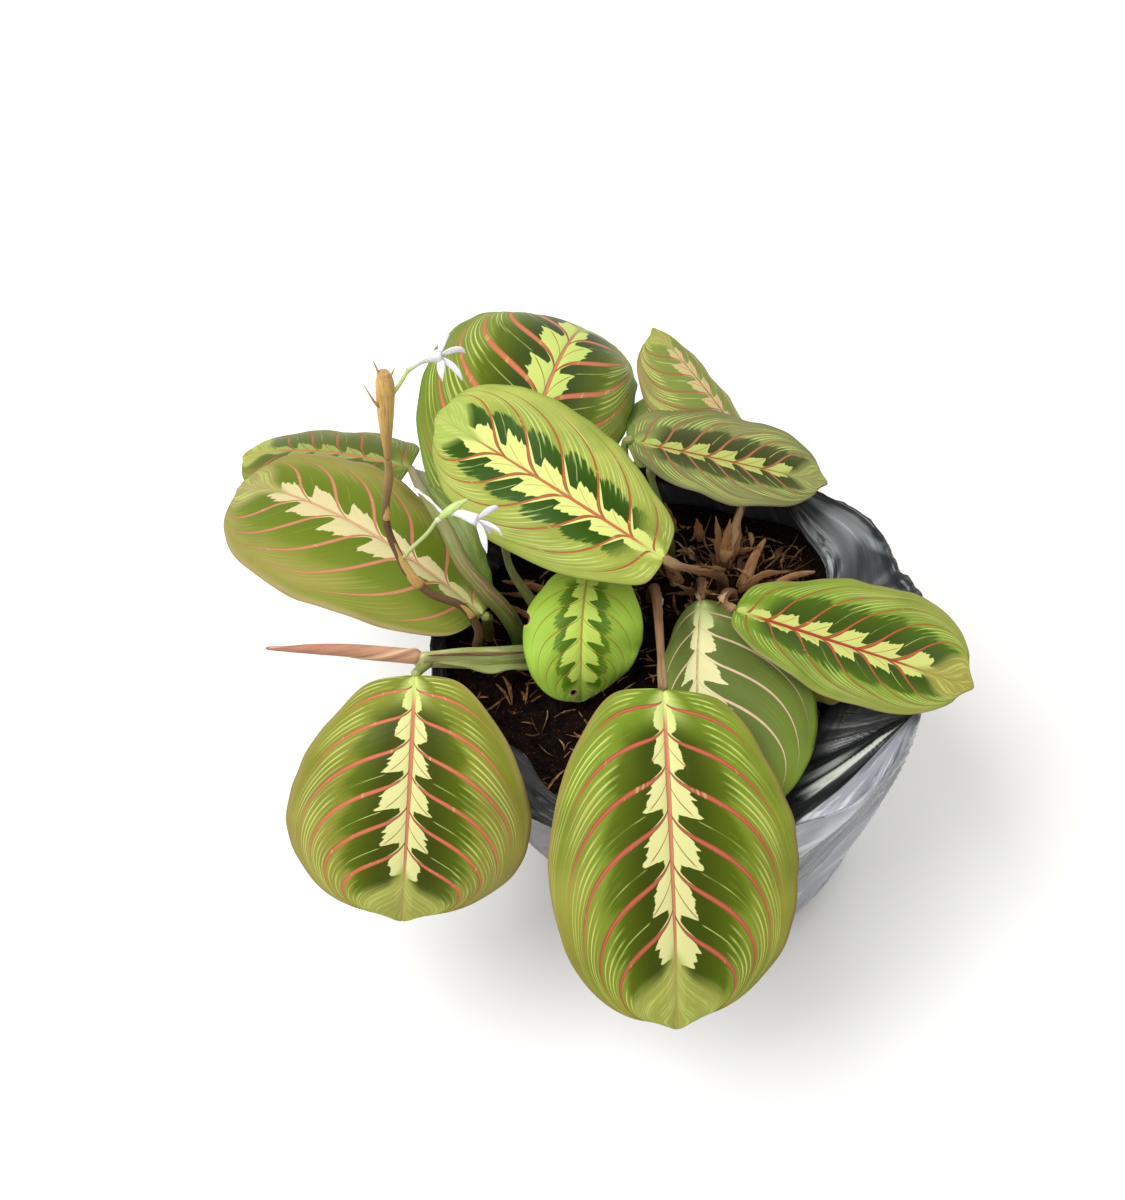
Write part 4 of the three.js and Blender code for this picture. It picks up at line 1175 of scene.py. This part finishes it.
# %% [markdown]
# ## The film bag
#
# A nursery grow bag is a thin black film tube. It is only stiff because the soil fills it, so its wall
# bulges a little, and above the soil it sags, creases and folds inward. It could be draped by a cloth
# simulation, but then it would no longer lie where the measured bag lies. So a grid is rolled up by the
# measured bag's rule, and the creases are pushed out of it along its normals. Film creases in long, sharp
# crests: they stand where smooth noise passes through zero. At the front right, where the rim is gathered
# into a corner, straight folds fan out from it.

# %% The measured bag's rule
BASE_RADIUS, FLAT_RADIUS, RIM_RADIUS, RIM_OVAL = 61, 56, 81, 4
RIM_CENTRE = (-12, -2)
RIM_HEIGHT, RIM_TILT, RIM_LOW_TURN = 115, 6, 0.8
PLEAT, CREASE = 1.6, 0.8
CHAMFER_LEVEL = 0.045
FLAPS = [(0.21, 0.6, 1.0), (-2.4, 0.5, 0.5)]
FLAP_LENGTH, FLAP_FLOOR, FLAP_LEAST = 30, 101.8, 0.08
FILM_GAP = 2.1
SOIL_TOP = 99


def rim_height(turn):
    return RIM_HEIGHT + RIM_TILT * np.sin(turn + RIM_LOW_TURN)


def film_point(turn, level, inset):
    """A point of the film wall, at a turn and a share of its height."""
    crumple = level * (PLEAT * np.sin(7 * turn + 1.6 * np.sin(2 * turn) + 1.5 * level)
                       + CREASE * np.sin(13 * turn - 6 * level))
    widening = RIM_RADIUS + RIM_OVAL * np.cos(2 * turn) - BASE_RADIUS
    radius = BASE_RADIUS + widening * level + crumple - inset
    return np.stack([RIM_CENTRE[0] * level + radius * np.cos(turn),
                     RIM_CENTRE[1] * level + radius * np.sin(turn), rim_height(turn) * level], -1)


def flap_share(turn):
    share = 0
    for middle, spread, size in FLAPS:
        away = np.arctan2(np.sin(turn - middle), np.cos(turn - middle))
        share = share + size * np.exp(-((away / spread) ** 2))
    return np.maximum(FLAP_LEAST, share * (1 + 0.12 * np.sin(9 * turn)))


def flap_point(turn, part):
    share = flap_share(turn)
    point = film_point(turn, 1, part * share * FLAP_LENGTH)
    point[..., 2] = rim_height(turn) - part * np.minimum(share, 1) * (rim_height(turn) - FLAP_FLOOR)
    return point


print("rim height in mm, right and left:", rim_height(np.array([0, math.pi])).round(1).tolist())

# %% Film with its creases
FILM_THICKNESS = 0.4
WALL_ROWS, FLAP_ROWS, LYING_ROWS, BAG_COLUMNS = 92, 22, 26, 330
LYING_TURN, LYING_SPREAD, LYING_REACH, LYING_HEIGHT = -0.72, 0.5, 27, 102.4
FILM_CURL = 1.2
CREASES_FROM, CREASE_LIMITS = 1.05, (-0.9, 3.2)
FAN_CORNER = (64.9, -30.6)
FAN_FOLDS = [(0.59, 0.06, 2.2), (0.45, 0.05, 1.5), (0.30, 0.06, -0.8), (0.12, 0.07, 1.0),
             (-0.16, 0.08, 0.8)]
FAN_START, FAN_END = 14, 46
WALL_CREST, WALL_CREST_SIZE, FINE_CREST, FINE_CREST_SIZE = 2.0, 23, 1.0, 10
WALL_SWELL, WALL_SWELL_SIZE, WALL_SUNK = 1.4, 30, 0.8
FLAP_CREST, FLAP_FINE_CREST, FLAP_SUNK, FLAP_EDGE_CREST = 0.8, 0.4, 0.3, 1.2
PLEAT_TURN, PLEAT_REACH, PLEAT_COUNT, PLEAT_HEIGHT = 0.14, 0.20, 73, 0.8


def film_stage(stage, turn):
    """0 to 1 is the flat base, to 1.1 its rounded edge, to 2 the wall, to 3 the flap that is folded
    inward, and to 4 the loose end of the film, which lies on the soil at the front right."""
    flat = np.minimum(stage, 1) * FLAT_RADIUS
    base = np.stack([flat * np.cos(turn), flat * np.sin(turn), 0 * turn], -1)
    edge = np.clip((stage - 1) / 0.1, 0, 1)[:, None]
    low = base * (1 - edge) + film_point(turn, CHAMFER_LEVEL, 0) * edge
    level = CHAMFER_LEVEL + (1 - CHAMFER_LEVEL) * np.clip((stage - 1.1) / 0.9, 0, 1)
    wall = film_point(turn, level, 0)
    flap = flap_point(turn, np.clip(stage - 2, 0, 1))
    part = np.clip(stage - 3, 0, 1)
    lying = np.exp(-(((turn - LYING_TURN) / LYING_SPREAD) ** 2))
    loose = film_point(turn, 1, flap_share(turn) * FLAP_LENGTH + (FILM_CURL + LYING_REACH * lying) * part)
    edge_height = flap_point(turn, 1 + 0 * turn)[:, 2]
    sag = (edge_height - LYING_HEIGHT) * lying ** 0.5 * (1 - (1 - part) ** 2)
    loose[:, 2] = edge_height - sag - FILM_CURL * part * (1 - lying)
    stage = stage[:, None]
    return np.where(stage < 1.1, low, np.where(stage < 2, wall, np.where(stage <= 3, flap, loose)))


def crest(place):
    """A sharp crest where smooth noise passes through zero: 1 on it and 0 away from it."""
    return max(0.0, 1 - 4 * abs(noise.noise(place))) ** 1.6


def off_turn(a, middle):
    """How far one turn is from another, the short way round."""
    return math.atan2(math.sin(a - middle), math.cos(a - middle))


def fan_height(x, y):
    """Straight folds that fan out from the corner where the rim is gathered."""
    aside, back = FAN_CORNER[0] - x, FAN_CORNER[1] - y
    away, angle = math.hypot(aside, back), math.atan2(back, aside)
    height = sum(high * math.exp(-(((angle - at) / wide) ** 2)) for at, wide, high in FAN_FOLDS)
    return height * min(away / FAN_START, 1) * math.exp(-((away / FAN_END) ** 4))


def crease_height(s, a, x, y):
    """How far the film stands out, in mm. On the wall the creases are long and lean to the right going
    up. Past the rim they run along it, except at the front right, where they fan out."""
    up = (s - 1.1) / 0.9 * RIM_HEIGHT
    front = math.exp(-((off_turn(a, -0.8) / 0.9) ** 2))
    lean = a - up * (0.003 + 0.0025 * front)
    wall = Vector((RIM_RADIUS * math.cos(lean), RIM_RADIUS * math.sin(lean), up / 11))
    on_wall = (WALL_CREST * crest(wall / WALL_CREST_SIZE) + FINE_CREST * crest(wall / FINE_CREST_SIZE)
               + WALL_SWELL * noise.noise(wall / WALL_SWELL_SIZE) - WALL_SUNK)
    lean = a + 0.3 * (s - 2)
    past = Vector((2.0 * math.cos(lean), 2.0 * math.sin(lean), 3.4 * s))
    calm = math.exp(-((off_turn(a, 0.75) / 0.5) ** 2))
    on_flap = ((FLAP_CREST * crest(past) + FLAP_FINE_CREST * crest(past * 2.3) - FLAP_SUNK)
               * (1 - 0.85 * calm) * (1 - 0.8 * front))
    flap_edge = calm * max(0, 1 - abs(s - 2.95) / 0.3) * FLAP_EDGE_CREST * crest(past * 2.5)
    on_flap += flap_edge + front * fan_height(x, y)
    part = min(max((s - 1.93) / 0.2, 0), 1)
    pleats = (math.exp(-((off_turn(a, PLEAT_TURN) / PLEAT_REACH) ** 2) - ((s - 2.0) / 0.2) ** 2)
              * PLEAT_HEIGHT * (1 + math.sin(PLEAT_COUNT * a + 3 * s)))
    return on_wall * (1 - part) + on_flap * part + pleats


stages = np.concatenate([np.linspace(0, 1, 6), [1.03, 1.06], np.linspace(1.1, 2, WALL_ROWS),
                         2 + np.linspace(0, 1, FLAP_ROWS)[1:], 3 + np.linspace(0, 1, LYING_ROWS)[1:]])
bag, along, across = grid_piece(len(stages) - 1, BAG_COLUMNS)
stage = stages[np.rint(along * (len(stages) - 1)).astype(int)]
turn = math.pi * across
points = film_stage(stage, turn)
place_points(bag, points)
normals = np.zeros(len(points) * 3)
bag.data.vertices.foreach_get("normal", normals)
normals = normals.reshape(-1, 3)
wall_rows = (stage > 1.2) & (stage < 1.9)
outward = np.sign((normals[wall_rows] * points[wall_rows] * [1, 1, 0]).sum(1).mean())
creases = np.array([crease_height(*row) if row[0] > CREASES_FROM else 0
                    for row in zip(stage, turn, points[:, 0], points[:, 1])])
creases = np.clip(creases, *CREASE_LIMITS) * np.clip((stage - CREASES_FROM) / 0.15, 0, 1)
place_points(bag, points + outward * normals * creases[:, None])
corner = np.zeros(len(bag.data.loops), int)
bag.data.loops.foreach_get("vertex_index", corner)
bag.data.uv_layers[0].name = "Blade"
folds = bag.data.uv_layers.new(name="Folds")
folds.data.foreach_set("uv", np.stack([creases[corner], stage[corner]], 1).ravel())
merge_and_face_out(bag)
middle_face = bag.data.polygons[len(bag.data.polygons) // 3]
if middle_face.normal.xy.dot(middle_face.center.xy) < 0:
    bag.data.flip_normals()
thicken(bag, FILM_THICKNESS, -1)
print("faces in the bag:", len(bag.data.polygons), "deepest and highest crease in mm:",
      round(creases.min(), 1), round(creases.max(), 1))

# %% [markdown]
# Black film is glossy, so it shows the sky as grey. On the outer wall and one flap that grey is painted
# into its colour as a painted reflection, and pale crumples get painted highlights. The finest creases are
# too small for the mesh. They come from noise that is drawn out along the creases, both in the colour and
# in the bump. Its place is worked out from the turn round the bag, so it has no seam.

# %% Noise along the creases
WALL_GRAIN, FLAP_GRAIN = (0.075, 0.05), (0.010, 0.04)
FAN_GRAIN = (0.045, 0.12)
FRONT_RIGHT = -0.75
r = Recipe("black_film")
fold, stage_at = r.uv("Folds")
turn_at = r.uv("Blade")[1] * math.pi
x, y, z = r.parts(r.place())


def towards(turn, near, far, low=0.0, high=1.0):
    """Grows from low to high in one direction from the middle of the bag."""
    return r.step(x * math.cos(turn) + y * math.sin(turn), near, far, low, high)


def round_bag(turn, up, grain):
    """A place for noise that goes round with the bag."""
    return r.vector(r.math("COSINE", turn) * grain[0], r.math("SINE", turn) * grain[0], up * grain[1])


leaning = turn_at - z * towards(FRONT_RIGHT, -0.03, 0.07, 3.0, 5.5)
aside, back = FAN_CORNER[0] * MM - x, FAN_CORNER[1] * MM - y
angle = r.math("ARCTAN2", back, aside)
away = r.math("SQRT", aside * aside + back * back)
on_wall, on_flap = round_bag(leaning, z, WALL_GRAIN), round_bag(turn_at, stage_at, FLAP_GRAIN)
on_fan = r.vector(angle * FAN_GRAIN[0], away * FAN_GRAIN[1])
past_rim = r.step(stage_at, 1.95, 2.15)
front_right = towards(-0.7, 0.040, 0.058)
near_front = front_right * past_rim


def on_film(scale, detail, rough):
    """Noise drawn out upward on the wall, along the rim past it, and like a fan at the front right."""
    wall, flap, fan = [r.noise(place, scale, detail, rough) for place in (on_wall, on_flap, on_fan)]
    return r.mix(near_front, r.mix(past_rim, wall, flap), fan)


broad, fine, hair = on_film(90.0, 3.0, 0.55), on_film(260.0, 3.0, 0.6), on_film(620.0, 2.0, 0.5)
print("film noise in three sizes, nodes so far:", len(r.tree.nodes))

# %% [markdown]
# Three colourings meet on the bag. The outer wall is painted pale silver, a painted reflection of the sky
# that is brighter at the front right, where the light falls, with painted shade in its wrinkles and painted
# highlights on its crests. The flap at the back right is painted slate grey, also a painted reflection of
# the sky, and all that faces inward is black. Two folds of the fan get painted highlights, and so do the
# edges of the flap.

# %% Film material
# Painted light on the outer wall: a painted reflection of the sky, painted shade and painted highlights,
# each dull away from the light and bright at the front right.
WALL_SHEEN_TONES = [((62, 64, 69), (148, 151, 159)), ((40, 42, 46), (72, 75, 82)),
              ((112, 115, 121), (212, 214, 220))]
BLACK, GREY_PATCH, FLAP_SHEEN, CRUMPLE_HIGHLIGHT = (14, 15, 16), (32, 34, 36), (36, 41, 44), (84, 87, 88)
FAN_GREY, FAN_SCRATCH, FLAP_EDGE_HIGHLIGHT = (56, 58, 58), (134, 138, 134), (150, 158, 160)
FAR_FOLD_HIGHLIGHT, NEAR_FOLD_HIGHLIGHT = (138, 146, 136), (186, 193, 180)
angle = angle + broad * 0.12
# Painted reflection: the flap at the back right is painted slate grey, the grey that glossy black film
# shows of the sky.
sheen_flap = towards(0.65, 0.035, 0.055) * r.step(x, 0.028, 0.042) * past_rim
outside = r.either(r.step(stage_at, 1.97, 1.94) * r.step(z + broad * 0.012, 0.1155, 0.1125),
                   front_right * r.step(stage_at, 1.90, 1.94) * r.step(angle, 0.80, 0.82))
# Painted light: the wall is painted brighter towards the front right, where the light falls.
sunny = towards(FRONT_RIGHT, 0.000, 0.055)
wall_sheen, shade, shine = [r.mix(sunny, dull, bright) for dull, bright in WALL_SHEEN_TONES]
# Painted shade in the wrinkles and painted highlights on the crests of the wall.
wall_sheen = r.coats(wall_sheen, (r.step(broad, 0.54, 0.36, 0.0, 0.7), shade),
                 (r.step(fine, 0.46, 0.34, 0.0, 0.7), shade), (r.step(fold, 0.7, 2.0, 0.0, 0.5), shine),
                 (r.step(fine, 0.56, 0.70, 0.0, 0.7), shine),
                 (r.step(hair, 0.60, 0.70, 0.0, 0.4), shine))
scratched = r.either(r.step(fine, 0.50, 0.66), r.step(hair, 0.54, 0.64))
ragged = r.either(r.step(fine, 0.36, 0.52), r.step(hair, 0.5, 0.6))
# Painted highlights along the outer edge of the back-right flap and in crumples near the soil.
flap_edge_highlights = r.either(r.step(abs(x + y - 0.0955), 0.0035, 0.0005) * r.step(fine, 0.40, 0.56),
                      r.step(stage_at, 2.65, 2.95) * r.step(fine, 0.5, 0.62))
# Painted highlights on two folds of the fan at the front right.
far_fold_highlight = near_front * r.band(angle, 0.48, 0.56, 0.02) * r.band(away, 0.024, 0.042, 0.006) * ragged
near_fold_highlight = near_front * r.band(angle, 0.60, 0.695, 0.02) * r.band(away, 0.008, 0.044, 0.005) * ragged
# Black with grey patches drawn by noise. Over it, painted light: painted highlights on crumples past the
# rim, the painted slate sheen of the back-right flap, and painted highlights on two fan folds and along the
# flap's edges.
black = r.coats(BLACK, (r.step(broad, 0.4, 0.65), GREY_PATCH),
                (past_rim * r.step(fine, 0.55, 0.7) * 0.5, CRUMPLE_HIGHLIGHT),
                (sheen_flap * r.step(stage_at, 2.9, 2.7, 0.55, 1.0), FLAP_SHEEN),
                (near_front * r.step(angle, 0.30, 0.16), FAN_GREY),
                (near_front * r.step(angle, 0.32, 0.20) * scratched * 0.55, FAN_SCRATCH),
                (far_fold_highlight * 0.85, FAR_FOLD_HIGHLIGHT), (near_fold_highlight * 0.95, NEAR_FOLD_HIGHLIGHT),
                (sheen_flap * flap_edge_highlights * 0.5, FLAP_EDGE_HIGHLIGHT))
height = (broad + fine * 0.45) * (1.0 - r.either(sheen_flap * 0.85, past_rim * 0.5))
gloss = r.step(broad, 0.35, 0.7, 0.26, 0.42)
painted(bag, r.finish(r.mix(outside, black, wall_sheen), gloss, height, 1.5 * MM))
settle(bag, "bag_film_fine", "bag_film", "bag")
print("film material nodes:", len(r.tree.nodes))

# %% [markdown]
# ## Potting mix
#
# The soil is a solid lump that fills the bag, and only its top is seen. Its rough surface is noise pushed
# upward. Crumbs and husks lie on it: each kind is modelled once and then copied many times, with a few
# faces each, into one piece.

# %% The soil
CROWN = (0, 30)
MOUND, MOUND_SPREAD = 1.6, 24
SOIL_LUMP = 0.8
TOP_RINGS, SOIL_COLUMNS = 84, 260
SOIL_FLOOR, SOIL_INSET = 1.5, 3.6
ROUGH_HEIGHT, ROUGH_SIZE, ROUGH_SUNK = 1.5, 5.5, 0.3
SOIL_GLOSS = 0.1


def soil_height(x, y, share):
    lumps = SOIL_LUMP * (np.sin(x / 9) * np.cos(y / 11) + 0.6 * np.sin(x / 5 + y / 4))
    away = np.hypot(x - CROWN[0], y - CROWN[1]) / MOUND_SPREAD
    return SOIL_TOP + (lumps + MOUND * np.exp(-away * away)) * (1 - share * share)


def soil_top(turn, share):
    edge = film_point(turn, SOIL_TOP / rim_height(turn), FILM_GAP)
    x = RIM_CENTRE[0] + (edge[..., 0] - RIM_CENTRE[0]) * share
    y = RIM_CENTRE[1] + (edge[..., 1] - RIM_CENTRE[1]) * share
    return np.stack([x, y, soil_height(x, y, share)], -1)


rings = np.concatenate([[0, 1], np.linspace(2, 3, 5), 3 + np.linspace(0, 1, TOP_RINGS)[1:]])
soil, along, across = grid_piece(len(rings) - 1, SOIL_COLUMNS)
ring = rings[np.rint(along * (len(rings) - 1)).astype(int)]
turn = math.pi * across
floor_radius = np.minimum(ring, 1) * (FLAT_RADIUS - SOIL_INSET)
base = np.stack([floor_radius * np.cos(turn), floor_radius * np.sin(turn), SOIL_FLOOR + 0 * turn], -1)
level = CHAMFER_LEVEL + (SOIL_TOP / rim_height(turn) - CHAMFER_LEVEL) * np.clip(ring - 2, 0, 1)
top = soil_top(turn, np.clip(4 - ring, 0, 1))
roughness = np.array([noise.fractal(Vector(point) / ROUGH_SIZE, 0.9, 2.2, 4) for point in top])
top[:, 2] += ROUGH_HEIGHT * roughness * np.clip((ring - 3) * 12, 0, 1) - ROUGH_SUNK
wall = film_point(turn, level, FILM_GAP)
points = np.where((ring < 1.5)[:, None], base, np.where((ring <= 3)[:, None], wall, top))
place_points(soil, points)
soil.data.uv_layers[0].name = "Blade"
merge_and_face_out(soil)
bpy.ops.object.shade_smooth()

r = Recipe("potting_mix")
clod = r.noise(r.place(), 260.0, 5.0, 0.7)
grit = r.noise(r.place(), 1100.0, 3.0, 0.6)
colour = r.coats((8, 5, 4), (r.step(clod, 0.35, 0.65), (28, 16, 10)),
                 (r.step(grit, 0.58, 0.72, 0.0, 0.8), (86, 52, 28)))
r.put(r.shader.inputs["Specular IOR Level"], SOIL_GLOSS)
potting_mix = r.finish(colour, 0.95, clod + grit * 0.5, 0.8 * MM)
settle(painted(soil, potting_mix), "soil_fine", "potting_mix", "soil")
print("faces in the soil:", len(soil.data.polygons))

# %% Crumbs and husks
CRUMBS, HUSKS = 1500, 420
random = np.random.default_rng(7)


def scatter_on_soil(count, edge=0.94):
    """Places on the soil, even over its area."""
    return soil_top(random.uniform(-math.pi, math.pi, count), np.sqrt(random.uniform(0, edge ** 2, count)))


def turned(points, yaw, pitch, roll):
    """Points turned by three angles."""
    turn = Matrix.Rotation(yaw, 3, "Z") @ Matrix.Rotation(pitch, 3, "Y") @ Matrix.Rotation(roll, 3, "X")
    return points @ np.array(turn).T


def strewn(name, model, places, size_of, pose_of, skin, slot_name):
    """One piece that holds a copy of the model at each place."""
    shape = np.array([vertex.co[:] for vertex in model.data.vertices]) / MM
    faces = [list(face.vertices) for face in model.data.polygons]
    points, polygons = [], []
    for index, place in enumerate(places):
        points.append(turned(shape * size_of(index), *pose_of(index)) + place)
        polygons += [[corner + index * len(shape) for corner in face] for face in faces]
    mesh = bpy.data.meshes.new(name)
    mesh.from_pydata((np.vstack(points) * MM).tolist(), [], polygons)
    piece = bpy.data.objects.new(name, mesh)
    bpy.context.collection.objects.link(piece)
    bpy.data.objects.remove(model)
    mesh.materials.append(skin)
    return settle(piece, name, slot_name)


bpy.ops.mesh.primitive_ico_sphere_add(subdivisions=1, radius=1 * MM)
crumb = bpy.context.object
crumb_sizes = random.uniform(0.35, 1.0, (CRUMBS, 1)) ** 2 * random.uniform(0.8, 2.0, (CRUMBS, 3))
crumb_turns = random.uniform(0, 2 * math.pi, (CRUMBS, 3))
strewn("soil_crumbs", crumb, scatter_on_soil(CRUMBS), lambda i: crumb_sizes[i], lambda i: crumb_turns[i],
       potting_mix, "potting_mix")

r = Recipe("husk")
tone = r.noise(r.place(), 170.0, 3.0, 0.6)
line = r.noise(r.place((1, 1, 0.3)), 900.0)
colour = r.coats((72, 42, 24), (r.step(tone, 0.35, 0.65), (158, 112, 66)),
                 (r.step(line, 0.5, 0.7, 0.0, 0.6), (196, 158, 108)))
husk_skin = r.finish(colour, 0.8, line, 0.3 * MM)


def husk_model():
    """A flat, bent strip with pointed ends, 10 mm long."""
    return rod(curve_through([(-5, 0, 0), (-1, 0.6, 0.9), (5, -0.4, 0.2)], 4),
               lambda share: 0.15 + 0.6 * np.sin(math.pi * share), sides=4, flat=0.5)


husk_places = scatter_on_soil(HUSKS, 0.9) + np.array([0, 0, 0.5])
husk_sizes = np.stack([random.uniform(0.3, 1.3, HUSKS), random.uniform(0.4, 1.3, HUSKS),
                       random.uniform(0.4, 1.2, HUSKS)], 1)
husk_turns = np.stack([random.uniform(0, 2 * math.pi, HUSKS), random.normal(0, 0.15, HUSKS),
                       random.uniform(0, 2 * math.pi, HUSKS)], 1)
strewn("soil_husks", husk_model(), husk_places, lambda i: husk_sizes[i], lambda i: husk_turns[i], husk_skin,
       "potting_mix")
print("crumbs and husks:", CRUMBS, HUSKS)

# %% [markdown]
# ## Dry leaf bases
#
# When an old leaf dies, the papery foot of its stalk stays. Four large ones stand round the shoots, and
# many thin ones crowd the crown. They are flat rods, torn to a point at the top.

# %% Dry leaf bases
DRY_ROUTES = [
    [(-10, 33, 101), (-13, 37, 106), (-16.5, 42.5, 109)], [(14, 33, 101), (17, 40, 105), (22, 49, 106)],
    [(23, 29, 101), (29, 33, 104), (39, 36, 104)], [(-55, 28, 101), (-61, 28, 106), (-72, 29, 108)],
]
THATCH, FLAKES = 110, 30
papery = stem_look("papery", (112, 70, 38), (186, 130, 78), (216, 168, 114), (232, 196, 146),
                   rough=0.75, lines=18.0, depth=0.7)
papery_pale = stem_look("papery_pale", (180, 132, 84), (228, 190, 142), (244, 220, 182),
                        (160, 112, 68), rough=0.75, lines=18.0, depth=0.7)
papery_dark = stem_look("papery_dark", (58, 34, 18), (112, 70, 38), (156, 104, 60),
                        (190, 136, 84), rough=0.8, lines=18.0, depth=0.7)
for index, route in enumerate(DRY_ROUTES):
    strip = rod(with_foot(curve_through(route, 26)), lambda share: 2.4 * (1 - share) ** 0.7 + 0.5, sides=14,
                flat=0.42, shape=lambda share, turn: 1 + 0.13 * np.sin(5 * turn + 9 * share))
    settle(painted(strip, papery), f"dry_base_{index + 1}_fine", "dry_leaf_base", f"dry_base_{index + 1}")


def blade_of_paper(route, width, steps=14):
    """A dry sheath: a thin strip, widest in its lower half and torn to a point."""
    phase = random.uniform(0, 2 * math.pi)
    return rod(curve_through(route, steps),
               lambda share: width * np.sin(math.pi * (0.12 + 0.86 * share) ** 0.75) + 0.06,
               sides=10, flat=0.14, dome=0.3,
               shape=lambda share, turn: (1 + 0.16 * np.sin(19 * share + phase)
                                          + 0.1 * np.sin(47 * share + 3 * turn)))


def thatch_route(shortest, longest, rise):
    """A route that leans away from the crown and curls back."""
    heading = random.uniform(-math.pi, math.pi)
    lean = np.array([math.cos(heading), math.sin(heading), 0])
    start = np.array([CROWN[0] + 10, CROWN[1] + 4, 98.6]) + lean * random.uniform(2, 19) * [1.15, 0.9, 0]
    length = random.uniform(shortest, longest)
    sway = np.cross(lean, [0, 0, 1]) * random.normal(0, 0.22) * length
    middle = start + lean * length * 0.45 + np.array([0, 0, length * rise * 0.65]) + sway
    top = np.array([0, 0, length * rise * random.uniform(0.5, 1)])
    return [start, middle, start + lean * length * 0.9 + top - sway]


def beside(name, start, end, shift, width):
    """A dry sheath that lies on a stalk, on the side that shift points to."""
    route = stalk_points(name)
    part = route[int(start * len(route)):int(end * len(route))]
    return painted(blade_of_paper(part[::3] + np.array(shift), width, 18),
                   random.choice([papery, papery_pale]))


def dry_strips(count, lengths, rises, widths, steps, skins):
    """Dry strips round the crown, each with its own route, width and one of the skins."""
    return [painted(blade_of_paper(thatch_route(*lengths, random.uniform(*rises)), random.uniform(*widths),
                                   steps), random.choice(skins)) for _ in range(count)]


WRAPS = [
    [(10, 28, 100), (-4, 24, 108), (-15, 20, 113)], [(8, 40, 100), (7, 42, 112), (8, 46, 122)],
    [(6, 41, 100), (5, 44, 110), (3, 48, 121)], [(9, 42, 100), (11, 44, 110), (12, 48, 118)],
    [(9, 21, 101), (9, 17, 113), (5, 10, 123)], [(12, 22, 101), (14, 16, 110), (12, 10, 119)],
    [(12, 30, 100), (20, 33, 106), (30, 34, 107)], [(4, 20, 100), (-2, 16, 108), (-8, 14, 118)],
    [(11, 46, 100), (14, 44, 106), (20, 44, 108)], [(10, 40, 100), (12, 37, 104), (15, 33, 105)],
    [(-10, 56, 101), (-12, 59, 106), (-14, 62, 111)], [(-1, 51, 102), (-2, 52, 108), (-3, 53, 113)],
    [(-56, 25, 102), (-66, 23, 108), (-76, 22, 111)], [(-56, 15, 101), (-65, 17, 106), (-72, 20, 108)],
    [(2, 26, 101), (-6, 19, 116), (-14, 12, 131)], [(6, 24, 102), (1, 16, 117), (-5, 9, 133)],
]
CREAM_BITS = [[(-1, 19, 116), (-3, 14, 122), (-8, 12, 124)], [(1, 18, 116), (0, 13, 123), (3, 11, 125)],
              [(-11, 51, 103), (-9, 47, 106), (-7, 43, 107)], [(16, 49, 110), (17, 48, 107), (17, 47, 103)],
              [(15, 35, 102), (17, 33, 104), (19, 30, 104)], [(-3, 17, 117), (-5, 13, 122.5), (-4, 9, 123)],
              [(3, 17, 116), (4, 12, 122), (1, 8, 124)]]
BESIDE = [("middle", 0.52, 0.90, (0, -1.2, 1.8), 2.0), ("middle", 0.40, 0.72, (1.2, 0.4, 1.6), 2.3),
          ("right", 0.50, 0.86, (-0.8, -1.0, 1.7), 1.7), ("curled", 0.16, 0.62, (-0.4, -1.6, 0.8), 2.3),
          ("front", 0.30, 0.70, (0.6, -1.6, 1.0), 1.6), ("dark", 0.45, 0.95, (0.5, -1.0, 1.4), 1.6)]
thatch = dry_strips(THATCH, (8, 20), (0, 0.6), (0.12, 0.36), 8, [papery_dark, papery_dark, papery])
flakes = dry_strips(FLAKES, (6, 14), (0.1, 0.5), (0.6, 1.4), 10, [papery_dark, papery, papery_pale])
wraps = [painted(blade_of_paper(route, random.uniform(1.5, 2.2)), papery) for route in WRAPS]
bits = [painted(blade_of_paper(route, 0.9, 10), papery_pale) for route in CREAM_BITS]
strips = [*thatch, *flakes, *wraps, *bits, *[beside(*row) for row in BESIDE]]
settle(joined(*strips), "crown_thatch", "dry_leaf_base")
print("strips and flakes round the crown:", THATCH, FLAKES)
